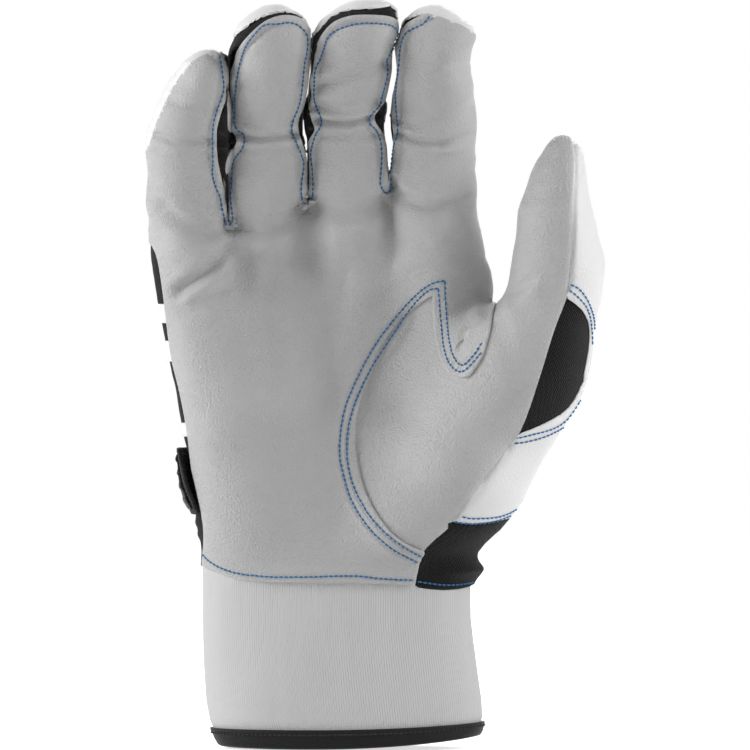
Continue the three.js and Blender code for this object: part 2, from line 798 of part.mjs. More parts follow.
function wristSlit(clearance) {
  const outline = [
    new THREE.Vector2(slitSide - slitHalfBreadth, 0),
    new THREE.Vector2(slitSide + slitHalfBreadth, 0),
    new THREE.Vector2(slitSide, slitHeight),
  ];
  return alongForward(offsetOutline(outline, -clearance), faceReach, -faceReach);
}

const wristBack = behind.intersect(block(everywhere, allForwards, [0, wristHeight - hold]));
add('wrist_back_panel', wristBack.subtract(wristSlit(-hold)), 'stretch');
add('wrist_slit_gusset', wristBack.intersect(wristSlit(hold)), 'stretch');

// Back of the thumb
const thumbBack = hand.intersect(thumbSide(hold)).subtract(thumbPanel(-hold));
const knee = (clearance) => areaOf(thumbKnucklePixels, clearance)
  .intersect(aheadOfThumb(insetReach, clearance));
const lowerArea = (clearance) => areaOf(thumbLowerPixels, clearance);
const gussetArea = (clearance) => areaOf(wristGussetPixels, clearance);
add('thumb_back', thumbBack.subtract(lowerArea(-hold)).subtract(knee(-hold)), 'backLeather');
add('thumb_knuckle_inset', knee(hold).subtract(lowerArea(-hold)).intersect(thumbBack), 'stretch');
add('thumb_heel_back', thumbBack.intersect(lowerArea(hold)).subtract(gussetArea(-hold)), 'backLeather');
add('wrist_side_gusset', thumbBack.intersect(gussetArea(hold)), 'stretch');

// Bars sewn across the back of the hand
const isBack = (points) => points.every(({ z, y, x }) => (
  z > wristHeight - barRise && z < knuckleHeight && x < thumbSlit.side && y > -netReach));
const barLayer = layer(layerGap, layerGap + barThickness, keepPoints(isBack));
const panelHeight = knuckleHeight - wristHeight;
const bars = barShares.map(({ low, high }) => ({
  low: wristHeight + low * panelHeight,
  high: wristHeight + high * panelHeight,
}));
bars.push({ low: strapTop + lowBarGap, high: strapTop + lowBarGap + lowBarHeight });
bars.forEach(({ low, high }, i) => {
  const outline = [
    new THREE.Vector2(-sideReach, low), new THREE.Vector2(barLeft, low),
    new THREE.Vector2(barRight, low + barRise), new THREE.Vector2(barRight, high + barRise),
    new THREE.Vector2(barLeft, high), new THREE.Vector2(-sideReach, high),
  ];
  const area = alongForward(outline, faceReach, -faceReach);
  add('back_bar_' + (i + 1), barLayer.intersect(area).intersect(backFace(hold)), 'backLeather');
});

// Wrist closure: the loop patch and the strap's sewn end stay on the hand, and the strap with its
// hook patch and tab peels away from them.
function wrapsWrist(points) {
  const margin = strapMargin;
  return points.every(({ x, y, z }) => (
    z > strapBottom - margin && z < strapTop + margin && (y > 0 ? x < thumbSlit.side : x < tabBottomSide + margin)));
}

function wristBand(left, right, margin, forwards) {
  return block([left, right], forwards, [strapBottom + margin, strapTop - margin]);
}

const levels = { patch: layerGap, hook: 2 * layerGap + patchThickness };
levels.strap = levels.hook + patchThickness + layerGap;
levels.tab = levels.strap + strapThickness + layerGap;
const wristLayer = (level, thickness) => layer(level, level + thickness, keepPoints(wrapsWrist));
add('loop_patch', wristLayer(levels.patch, patchThickness).intersect(
  wristBand(patchLeft, patchRight, patchMargin, [-faceReach, 0]),
), 'hookLoop');
add('hook_patch', wristLayer(levels.hook, patchThickness).intersect(
  wristBand(patchLeft, hookRight, patchMargin, [-faceReach, 0]),
), 'hookLoop');

// The front end of the strap lies on the palm's side and slants like the photographed tab.
const tabEdge = alongForward([
  new THREE.Vector2(tabBottomSide, strapBottom), new THREE.Vector2(sideReach, strapBottom),
  new THREE.Vector2(sideReach, strapTop), new THREE.Vector2(tabTopSide, strapTop),
], faceReach, 0);
const strapLayer = wristLayer(levels.strap, strapThickness);
add('closure_strap', strapLayer.intersect(wristBand(-sideReach, strapSewnSide - hold, 0, allForwards))
  .subtract(tabEdge), 'strap');
add('pull_tab', wristLayer(levels.tab, tabThickness).intersect(
  wristBand(-sideReach, tabRight, tabMargin, allForwards),
).subtract(tabEdge), 'strap');
const anchorTop = levels.strap + strapThickness - levels.patch;
add('strap_anchor', wristLayer(levels.patch, anchorTop).intersect(
  wristBand(strapSewnSide + hold, strapSewnSide + anchorBreadth, 0, [-faceReach, 0]),
), 'strap');

// Elastic sewn inside the palm's side of the wrist
const isHeel = (points) => points.every(({ y, z }) => y < 0 && z < strapTop);
const elasticLevel = -leatherThickness - layerGap;
add('wrist_elastic', layer(elasticLevel - elasticThickness, elasticLevel, keepPoints(isHeel)).intersect(
  block([-sideReach, elasticRight], allForwards, [elasticBottom, elasticTop]),
), 'strap');

// Cuff: an oval tube of knit, and the binding that its rim sits in
function ovalAt(height, angle, out) {
  const share = height / cuffSeamHeight;
  const side = THREE.MathUtils.lerp(cuffBottomSide, cuffTopSide, share);
  const across = THREE.MathUtils.lerp(cuffBottomBreadth, cuffTopBreadth, share) / 2;
  const deep = cuffDepth / 2;
  const normal = new THREE.Vector2(Math.cos(angle) * deep, Math.sin(angle) * across).normalize();
  return new THREE.Vector3(
    side + Math.cos(angle) * across + normal.x * out,
    Math.sin(angle) * deep + normal.y * out,
    height,
  );
}

// A ring whose section, given by places out from the cuff's oval and up, runs round the oval.
function ovalRing(section) {
  const corners = [];
  for (let i = 0; i < ovalSteps; i += 1) {
    const angles = [i, i + 1].map((step) => (2 * Math.PI * (step % ovalSteps)) / ovalSteps);
    section.forEach(([out, height], j) => {
      const [nextOut, nextHeight] = section[(j + 1) % section.length];
      const a = ovalAt(height, angles[0], out);
      const b = ovalAt(height, angles[1], out);
      const c = ovalAt(nextHeight, angles[1], nextOut);
      const d = ovalAt(nextHeight, angles[0], nextOut);
      corners.push(a, b, c, a, c, d);
    });
  }
  return solidOf(new THREE.BufferGeometry().setFromPoints(corners));
}

const knitFoot = bindingFloor + bindingClearance;
add('knit_cuff', ovalRing([
  [0, knitFoot], [0, cuffSeamHeight - seamGap],
  [-knitThickness, cuffSeamHeight - seamGap], [-knitThickness, knitFoot],
]), 'knit');
const bindingOut = bindingClearance + bindingWall;
add('cuff_binding', ovalRing([
  [bindingOut, 0], [bindingOut, bindingHeight], [bindingClearance, bindingHeight],
  [bindingClearance, bindingFloor], [-knitThickness - bindingClearance, bindingFloor],
  [-knitThickness - bindingClearance, bindingHeight], [-knitThickness - bindingOut, bindingHeight],
  [-knitThickness - bindingOut, 0],
]), 'binding');

const looks = {
  leather: { color: 0xcfcfd2, roughness: 0.55 },
  backLeather: { color: 0xf0f0f0, roughness: 0.5 },
  gusset: { color: 0x1b1b1d, roughness: 0.8 },
  stretch: { color: 0x1f1f22, roughness: 0.9 },
  strap: { color: 0x18181a, roughness: 0.7 },
  hookLoop: { color: 0x242428, roughness: 0.95 },
  knit: { color: 0xc9c9cc, roughness: 0.9 },
  binding: { color: 0x1a1a1c, roughness: 0.6 },
};

function meshOf({ name, solid, look }) {
  const { vertProperties, triVerts } = solid.getMesh();
  const geometry = new THREE.BufferGeometry();
  geometry.setAttribute('position', new THREE.BufferAttribute(vertProperties, 3));
  geometry.setIndex(new THREE.BufferAttribute(triVerts, 1));
  geometry.computeVertexNormals();
  const material = new THREE.MeshStandardMaterial({ metalness: 0, ...looks[look] });
  const mesh = new THREE.Mesh(geometry, material);
  mesh.name = name;
  return mesh;
}

const glove = new THREE.Group();
for (const piece of pieces) glove.add(meshOf(piece));

// The part's origin is at the middle of its footprint, on the surface that it stands on.
const extent = new THREE.Box3().setFromObject(glove);
const middle = extent.getCenter(new THREE.Vector3());
glove.position.set(-middle.x, -middle.y, -extent.min.z);

// Places and directions of the hinges in the part's frame
const sewnEdges = [strapBottom, (strapBottom + strapTop) / 2, strapTop].map((height) => settle(
  new THREE.Vector3(strapSewnSide - hold, cuffDepth / 2, height),
  Object.keys(digits),
  levels.strap + strapThickness,
  'height',
));
const sewnEdge = sewnEdges[1].setY(Math.max(...sewnEdges.map(({ y }) => y)) + seamGap);
export const hinges = Object.keys(digits).map((name) => {
  const { at, axis } = creaseOf(name);
  return { name, at: at.clone().add(glove.position), axis };
});
hinges.push({ name: 'strap', at: sewnEdge.add(glove.position), axis: new THREE.Vector3(0, 0, -1) });

export default glove;
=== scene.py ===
"""Looks of a batting glove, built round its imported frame.

The hand inside the glove is a field of tapered rods, the same one that the frame's solids follow.
A fine net is settled on it, every panel is cut from that net along its seams, and threads, folds
and edges are added as real shapes. Forms are worked out in millimetres: X to the thumb's side,
-Y towards the palm's side, Z up. Places on the panels are given in the picture's own pixels.
"""

import logging
import math
from dataclasses import dataclass, field
from enum import Enum
from typing import Dict, List, Optional, Sequence, Tuple, Union

import bpy
import numpy as np
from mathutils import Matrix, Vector
from mathutils.bvhtree import BVHTree

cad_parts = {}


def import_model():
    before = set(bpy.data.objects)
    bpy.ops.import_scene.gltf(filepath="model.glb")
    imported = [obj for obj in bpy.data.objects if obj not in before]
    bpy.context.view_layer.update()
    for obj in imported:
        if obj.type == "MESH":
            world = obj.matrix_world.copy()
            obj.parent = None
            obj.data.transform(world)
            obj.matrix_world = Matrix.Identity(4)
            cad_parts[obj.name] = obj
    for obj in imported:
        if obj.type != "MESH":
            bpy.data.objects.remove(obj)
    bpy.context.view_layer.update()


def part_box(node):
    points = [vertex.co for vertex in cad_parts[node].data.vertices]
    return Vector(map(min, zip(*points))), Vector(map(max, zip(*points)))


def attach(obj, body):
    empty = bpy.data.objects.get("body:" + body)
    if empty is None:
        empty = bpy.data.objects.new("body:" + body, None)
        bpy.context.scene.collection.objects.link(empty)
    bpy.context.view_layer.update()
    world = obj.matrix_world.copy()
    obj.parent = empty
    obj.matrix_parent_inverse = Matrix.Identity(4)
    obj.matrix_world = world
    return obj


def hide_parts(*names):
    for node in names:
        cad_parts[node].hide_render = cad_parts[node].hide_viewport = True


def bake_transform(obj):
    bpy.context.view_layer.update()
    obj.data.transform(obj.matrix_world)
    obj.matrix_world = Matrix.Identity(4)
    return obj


LOG = logging.getLogger("batting_glove")
Array = np.ndarray
Pixels = Sequence[Tuple[float, float]]
Value = Union[float, Sequence[float], bpy.types.NodeSocket]
Inputs = Dict[Union[str, int], Value]
MM = 0.001


class Digit(Enum):
    """The glove's digits and its palm, as the net counts them."""

    LITTLE = 0
    RING = 1
    MIDDLE = 2
    INDEX = 3
    THUMB = 4
    PALM = 5

    @property
    def word(self) -> str:
        """The digit's name in the frame's nodes and bodies."""
        return "thumb" if self is Digit.THUMB else self.name.lower() + "_finger"


FINGERS = (Digit.LITTLE, Digit.RING, Digit.MIDDLE, Digit.INDEX)


class Held(Enum):
    """What a net point keeps while it settles."""

    NOTHING = 0
    HEIGHT = 1
    SIDE = 2


@dataclass(frozen=True)
class Joint:
    """One joint of the hand, with the glove's radius round it, in millimetres."""

    side: float
    forward: float
    height: float
    radius: float

    @property
    def place(self) -> Array:
        """The joint's place."""
        return np.array((self.side, -self.forward, self.height))


def from_span(points: Array, start: Array, end: Array) -> Tuple[Array, Array]:
    """Where points lie beside a straight span.

    Args:
        points: Places, one a row.
        start: First end of the span.
        end: Last end.

    Returns:
        How far along the span each point lies, as a share, and its way from there.
    """
    span = end - start
    reach = points - start
    share = np.clip(reach @ span / max(span @ span, 1e-12), 0, 1)
    return share, reach - share[:, None] * span


def rod(points: Array, start: Joint, end: Joint) -> Array:
    """Distance from points to a rod whose radius changes steadily between two joints.

    Args:
        points: Places, one a row.
        start: First joint.
        end: Last joint.

    Returns:
        A distance for each point, negative inside.
    """
    share, away = from_span(points, start.place, end.place)
    return np.linalg.norm(away, axis=1) - start.radius - (end.radius - start.radius) * share


def soft_min(one: Array, other: Array, blend: float) -> Array:
    """The lesser of two distances, rounded over a blend where they meet."""
    near = np.maximum(blend - np.abs(one - other), 0) / blend
    return np.minimum(one, other) - near * near * blend / 4


def smoothstep(value: Array, low: float, high: float) -> Array:
    """A smooth rise from 0 at low to 1 at high."""
    share = np.clip((value - low) / (high - low), 0, 1)
    return share * share * (3 - 2 * share)


def bell(value: Array, width: float) -> Array:
    """A smooth hump: 1 at zero, and little beyond its width on both sides."""
    return np.exp(-((value / width) ** 2))


def least(*values: Array) -> Array:
    """The least of some values at every point: what lies inside all the areas."""
    return np.minimum.reduce(np.broadcast_arrays(*values))


def lengths_along(places: Array) -> Array:
    """Length along a line up to each of its places."""
    steps = np.linalg.norm(np.diff(places, axis=0), axis=1)
    return np.concatenate([[0], np.cumsum(steps)])


def chain(points: Array, joints: Sequence[Joint], blend: float = 5.0) -> Array:
    """Distance to a chain of rods."""
    distance = rod(points, joints[0], joints[1])
    for start, end in zip(joints[1:-1], joints[2:]):
        distance = soft_min(distance, rod(points, start, end), blend)
    return distance


@dataclass(frozen=True)
class HandForm:
    """The hand that fills the glove: joints, slits and how softly its parts meet."""

    rays: Tuple[Tuple[Joint, ...], ...] = (
        (Joint(-25, 0, 58, 17), Joint(-34, 2, 100, 14.6), Joint(-45.2, -1, 148, 12.6)),
        (Joint(-13, 0, 58, 17), Joint(-18, -1, 100, 14.4), Joint(-22.6, -3, 150, 12.8)),
        (Joint(0, 0, 58, 17), Joint(2, -2, 100, 14.4), Joint(2, -3, 152, 13.2)),
        (Joint(17, 0, 58, 17), Joint(22, -1, 100, 14.8), Joint(27.6, -2, 150, 13.4)),
    )
    heel: Tuple[Joint, ...] = (
        Joint(19, 3, 60, 17), Joint(36.5, 10, 84, 17), Joint(57.5, 13, 119, 14.6),
    )
    web: Tuple[Joint, ...] = (Joint(28, 4, 108, 11), Joint(50, 9, 120, 9.5))
    digits: Tuple[Tuple[Joint, ...], ...] = (
        (Joint(-45.4, -1, 148, 12.6), Joint(-48.3, 1, 163, 10.9), Joint(-48, 6, 181.5, 10.3),
         Joint(-46.2, 14.5, 193, 9.6), Joint(-43.2, 19.5, 200.4, 8.4)),
        (Joint(-22.6, -3, 150, 12.8), Joint(-22.7, 0, 166, 11.6), Joint(-22.8, 5, 187, 11),
         Joint(-22.4, 15, 201.5, 11), Joint(-20.8, 23, 211.4, 10.8)),
        (Joint(2, -3, 152, 13.2), Joint(1.6, 0, 168, 11.7), Joint(1.6, 5, 189, 11.1),
         Joint(2.6, 15, 203.5, 11.3), Joint(4.2, 23, 212.8, 10.9)),
        (Joint(27.6, -2, 150, 13.4), Joint(27.3, 1, 168, 12.6), Joint(26.5, 5, 188, 12.1),
         Joint(27.4, 15, 202.5, 11.2), Joint(28.9, 22.5, 211.6, 10.5)),
        (Joint(57.5, 13, 119, 14.6), Joint(64, 16, 144, 13.8), Joint(64.2, 18, 159, 11.4),
         Joint(65.4, 19.5, 170, 8.8), Joint(66.5, 20, 176.4, 6.8)),
    )
    slits: Tuple[Tuple[float, float], ...] = ((-34.8, 157.5), (-11.4, 164.0), (13.0, 167.0))
    leans: Tuple[float, ...] = (0.0, 1.4, 3.8)
    lean_heights: Tuple[float, float] = (186.0, 204.0)
    seam_height: float = 51.0
    cuff_side: Tuple[float, float] = (-0.3, -1.8)
    cuff_breadth: Tuple[float, float] = (79.4, 81.2)
    cuff_depth: float = 40.0
    fairing: float = 16.0
    palm_blend: float = 12.0
    web_blend: float = 7.0
    thumb_blend: float = 14.0
    finger_gap: float = 0.7
    web_slope: float = 1.2

    def palm(self, points: Array) -> Array:
        """Distance to the palm with the thumb's heel and web."""
        distance = chain(points, self.rays[0])
        for ray in self.rays[1:]:
            distance = soft_min(distance, chain(points, ray), self.palm_blend)
        distance = soft_min(distance, chain(points, self.heel), self.thumb_blend)
        return soft_min(distance, chain(points, self.web), self.thumb_blend)

    def oval(self, points: Array) -> Array:
        """Distance to the cuff's oval."""
        across = (points[:, 0] - self.cuff_side[1]) / (self.cuff_breadth[1] / 2)
        deep = points[:, 1] / (self.cuff_depth / 2)
        return (np.hypot(across, deep) - 1) * self.cuff_depth / 2

    def slit_side(self, place: int, heights: Array) -> Array:
        """Side of a slit at heights; it leans over to where the fingertips touch."""
        return self.slits[place][0] + self.leans[place] * smoothstep(heights, *self.lean_heights)

    def past_slit(self, points: Array, place: int, direction: int) -> Array:
        """How far points lie past a slit; the slit opens out below its bottom."""
        below = np.maximum(self.slits[place][1] - points[:, 2], 0) * self.web_slope
        beyond = points[:, 0] - self.slit_side(place, points[:, 2])
        return direction * beyond + self.finger_gap / 2 - below

    def distance(self, points: Array, digits: Sequence[int]) -> Array:
        """Distance from points to the hand, with only the named digits on it.

        Args:
            points: Places, one a row.
            digits: Numbers of the digits.

        Returns:
            A distance for each point, negative inside.
        """
        palm = self.palm(points)
        nearest = np.full(len(points), np.inf)
        for place in digits:
            blend = self.thumb_blend if place == Digit.THUMB.value else self.web_blend
            own = soft_min(palm, chain(points, self.digits[place]), blend)
            if 0 < place < 4:
                own = np.maximum(own, self.past_slit(points, place - 1, -1))
            if place < 3:
                own = np.maximum(own, self.past_slit(points, place, 1))
            nearest = np.minimum(nearest, own)
        share = smoothstep(points[:, 2], self.seam_height, self.seam_height + self.fairing)
        oval = self.oval(points)
        return oval + (nearest - oval) * share

    def slope(self, points: Array, digits: Sequence[int], step: float = 0.02) -> Array:
        """Slope of the distance at points, by small steps each way."""
        slope = np.empty_like(points)
        for axis in range(3):
            move = np.zeros(3)
            move[axis] = step
            rise = self.distance(points + move, digits) - self.distance(points - move, digits)
            slope[:, axis] = rise / (2 * step)
        return slope

    def settle(self, points: Array, digits: Sequence[int], held: Array, steps: int) -> Array:
        """Moves points onto the hand's surface.

        Args:
            points: Places, one a row.
            digits: Digits whose surface the points lie on.
            held: What each point keeps, as Held values.
            steps: How often to step.

        Returns:
            The settled places.
        """
        at = points.copy()
        for _ in range(steps):
            slope = self.slope(at, digits)
            slope[held == Held.HEIGHT.value, 2] = 0
            slope[held == Held.SIDE.value, 0] = 0
            size = np.maximum((slope * slope).sum(axis=1), 0.05)
            at -= slope * (self.distance(at, digits) / size)[:, None]
        return at

    def ray_at(self, ray: int, height: float) -> Tuple[float, float]:
        """Side and radius of one of the palm's rays at a height."""
        joints = self.rays[ray]
        heights = [joint.height for joint in joints]
        side = np.interp(height, heights, [joint.side for joint in joints])
        radius = np.interp(height, heights, [joint.radius for joint in joints])
        return float(side), float(radius)


@dataclass
class HandNet:
    """A net of four-sided faces over the hand, split until it is fine enough to cut panels from."""

    form: HandForm
    rounds: int = 5
    row_heights: Tuple[float, ...] = (66, 94, 124)
    root_height: float = 150.0
    foot_height: float = 44.0
    start_depth: float = 12.0
    thumb_slit: Tuple[float, float] = (45.0, 131.0)
    points: List[Tuple[float, float, float]] = field(default_factory=list)
    held: List[int] = field(default_factory=list)
    faces: List[Tuple[int, int, int, int]] = field(default_factory=list)
    digit: List[int] = field(default_factory=list)

    def point(self, side: float, forward: float, height: float, held: Held = Held.NOTHING) -> int:
        """Adds a net point and returns its number."""
        self.points.append((side, -forward, height))
        self.held.append(held.value)
        return len(self.points) - 1

    def face(self, corners: Sequence[int], digit: Digit) -> None:
        """Adds a face on a digit."""
        self.faces.append(tuple(corners))
        self.digit.append(digit.value)

    def palm_lines(self, height: float) -> List[float]:
        """Sides of the palm's two edges and the three lines between its rays."""
        rays = [self.form.ray_at(ray, height) for ray in range(4)]
        lines = [rays[0][0] - rays[0][1] * 0.8]
        lines += [(rays[i][0] + rays[i + 1][0]) / 2 for i in range(3)]
        return lines + [rays[3][0] + rays[3][1] * 0.8]

    @staticmethod
    def empty_row() -> Dict[str, List[int]]:
        """A row with no net points yet."""
        return {"front": [], "back": []}

    def pair(self, row: Dict[str, List[int]], side: float, depth: float, height: float,
             held: Held = Held.NOTHING) -> None:
        """Adds a net point ahead of the hand's middle and one behind it to a row."""
        row["front"].append(self.point(side, depth, height, held))
        row["back"].append(self.point(side, -depth, height, held))

    def palm_rows(self) -> List[Dict[str, List[int]]]:
        """Rows of net points up the palm, each with its front and back half.

        Returns:
            The rows, from the cuff up to the slits.
        """
        form = self.form
        rows = []
        foot = self.empty_row()
        for i in range(5):
            angle = math.pi * (0.14 + 0.72 * i / 4)
            side = form.cuff_side[1] - math.cos(angle) * form.cuff_breadth[1] / 2
            depth = math.sin(angle) * form.cuff_depth / 2
            self.pair(foot, side, depth, self.foot_height, Held.HEIGHT)
        rows.append(foot)
        for height in self.row_heights:
            row = self.empty_row()
            for i, side in enumerate(self.palm_lines(height)):
                beside_thumb = i == 4 and height == self.row_heights[2]
                side, level = self.thumb_slit if beside_thumb else (side, height)
                self.pair(row, side, self.start_depth, level)
            rows.append(row)
        top = self.empty_row()
        edges = self.palm_lines(self.root_height)
        for i in range(5):
            side, height, held = edges[i], self.root_height, Held.NOTHING
            if 0 < i < 4:
                side, height = form.slits[i - 1]
                height -= form.finger_gap / 2
                held = Held.SIDE
            self.pair(top, side, self.start_depth, height, held)
        rows.append(top)
        return rows

    def cover_palm(self, rows: List[Dict[str, List[int]]]) -> None:
        """Lays faces over the palm, and leaves its thumb opening free.

        Args:
            rows: The palm's rows of net points.
        """
        for r in range(1, len(rows)):
            low, high = rows[r - 1], rows[r]
            for i in range(1, 5):
                for half, a, b in (("front", i - 1, i), ("back", i, i - 1)):
                    corners = (low[half][a], low[half][b], high[half][b], high[half][a])
                    self.face(corners, Digit.PALM)
            edge = (low["back"][0], low["front"][0], high["front"][0], high["back"][0])
            self.face(edge, Digit.PALM)
            if r not in (2, 3):
                side = (low["front"][4], low["back"][4], high["back"][4], high["front"][4])
                self.face(side, Digit.PALM)

    def cover_digit(self, digit: Digit, base: List[int], spokes: Pixels) -> List[int]:
        """Carries a ring of net points up a digit.

        Args:
            digit: The digit.
            base: Net points at its root.
            spokes: Each ring point's share of the radius to the side and forward.

        Returns:
            The last ring.
        """
        joints = self.form.digits[digit.value]
        ring = base
        for place in range(1, 5):
            centre = joints[place].place
            along = joints[min(place + 1, 4)].place - joints[place - 1].place
            along /= np.linalg.norm(along)
            across = np.array((1.0, 0, 0)) - along * along[0]
            across /= np.linalg.norm(across)
            if place == 4:
                centre = centre + along * 0.5 * joints[place].radius
            ahead = np.cross(across, along)
            if ahead[1] > 0:
                ahead = -ahead
            following = []
            for side_share, forward_share in spokes:
                spot = centre + (across * side_share + ahead * forward_share) * joints[place].radius
                following.append(self.point(spot[0], -spot[1], spot[2]))
            for i in range(len(ring)):
                j = (i + 1) % len(ring)
                self.face((ring[i], ring[j], following[j], following[i]), digit)
            ring = following
        return ring

    def cover(self) -> None:
        """Lays the coarse net over the whole hand."""
        rows = self.palm_rows()
        self.cover_palm(rows)
        top = rows[-1]
        spokes = ((-0.7, 0.7), (0.7, 0.7), (0.7, -0.7), (-0.7, -0.7))
        for i, digit in enumerate(FINGERS):
            base = [top["front"][i], top["front"][i + 1], top["back"][i + 1], top["back"][i]]
            self.face(self.cover_digit(digit, base, spokes), digit)
        base = [rows[r]["front"][4] for r in (3, 2, 1)] + [rows[r]["back"][4] for r in (1, 2, 3)]
        spokes = ((-0.87, 0.5), (0, 1), (0.87, 0.5), (0.87, -0.5), (0, -1), (-0.87, -0.5))
        tip = self.cover_digit(Digit.THUMB, base, spokes)
        self.face((tip[5], tip[0], tip[1], tip[4]), Digit.THUMB)
        self.face((tip[4], tip[1], tip[2], tip[3]), Digit.THUMB)

    @staticmethod
    def split(at: Array, held: Array, faces: Array) -> Tuple[Array, Array, Array]:
        """Splits every face into four.

        Args:
            at: Places of the net's points.
            held: What each keeps.
            faces: Corners of the faces.

        Returns:
            The places, what they keep, and the new faces, four after one another for each old one.
        """
        count = len(at)
        pairs = np.sort(np.stack([faces, np.roll(faces, -1, axis=1)], axis=2), axis=2)
        edges, number = np.unique(pairs.reshape(-1, 2), axis=0, return_inverse=True)
        number = number.reshape(-1, 4)
        same = held[edges[:, 0]] == held[edges[:, 1]]
        middles = at[edges].mean(axis=1)
        centres = at[faces].mean(axis=1)
        all_held = np.concatenate([
            held, np.where(same, held[edges[:, 0]], 0), np.zeros(len(faces), int),
        ])
        middle = number + count
        centre = np.arange(len(faces)) + count + len(edges)
        quads = np.stack([
            np.stack([faces[:, i], middle[:, i], centre, middle[:, (i + 3) % 4]], axis=1)
            for i in range(4)
        ], axis=1)
        return np.concatenate([at, middles, centres]), all_held, quads.reshape(-1, 4)

    def groups(self, faces: Array, digit: Array, count: int) -> List[Tuple[List[int], Array]]:
        """Points grouped by the digits whose surface they lie on."""
        masks = np.zeros(count, int)
        for place in range(5):
            masks[np.unique(faces[digit == place])] |= 1 << place
        masks[masks == 0] = 31
        return [
            ([place for place in range(5) if mask & (1 << place)], np.flatnonzero(masks == mask))
            for mask in np.unique(masks)
        ]

    def surface(self) -> "Sheet":
        """Covers the hand, splits and settles the net, and gives it as one sheet.

        Returns:
            The fine net.
        """
        self.cover()
        at = np.array(self.points, float)
        held = np.array(self.held)
        faces = np.array(self.faces)
        digit = np.array(self.digit)
        for turn in range(self.rounds + 1):
            if turn:
                at, held, faces = self.split(at, held, faces)
                digit = np.repeat(digit, 4)
            for digits, rows in self.groups(faces, digit, len(at)):
                steps = 8 if turn < 3 else 3
                at[rows] = self.form.settle(at[rows], digits, held[rows], steps)
        triangles = np.concatenate([faces[:, [0, 1, 2]], faces[:, [0, 2, 3]]])
        sheet = Sheet(at, np.zeros_like(at), triangles, np.concatenate([digit, digit]))
        sheet.normal = sheet.corner_normals()
        LOG.info("net: %d points, %d faces", len(at), len(faces))
        return sheet


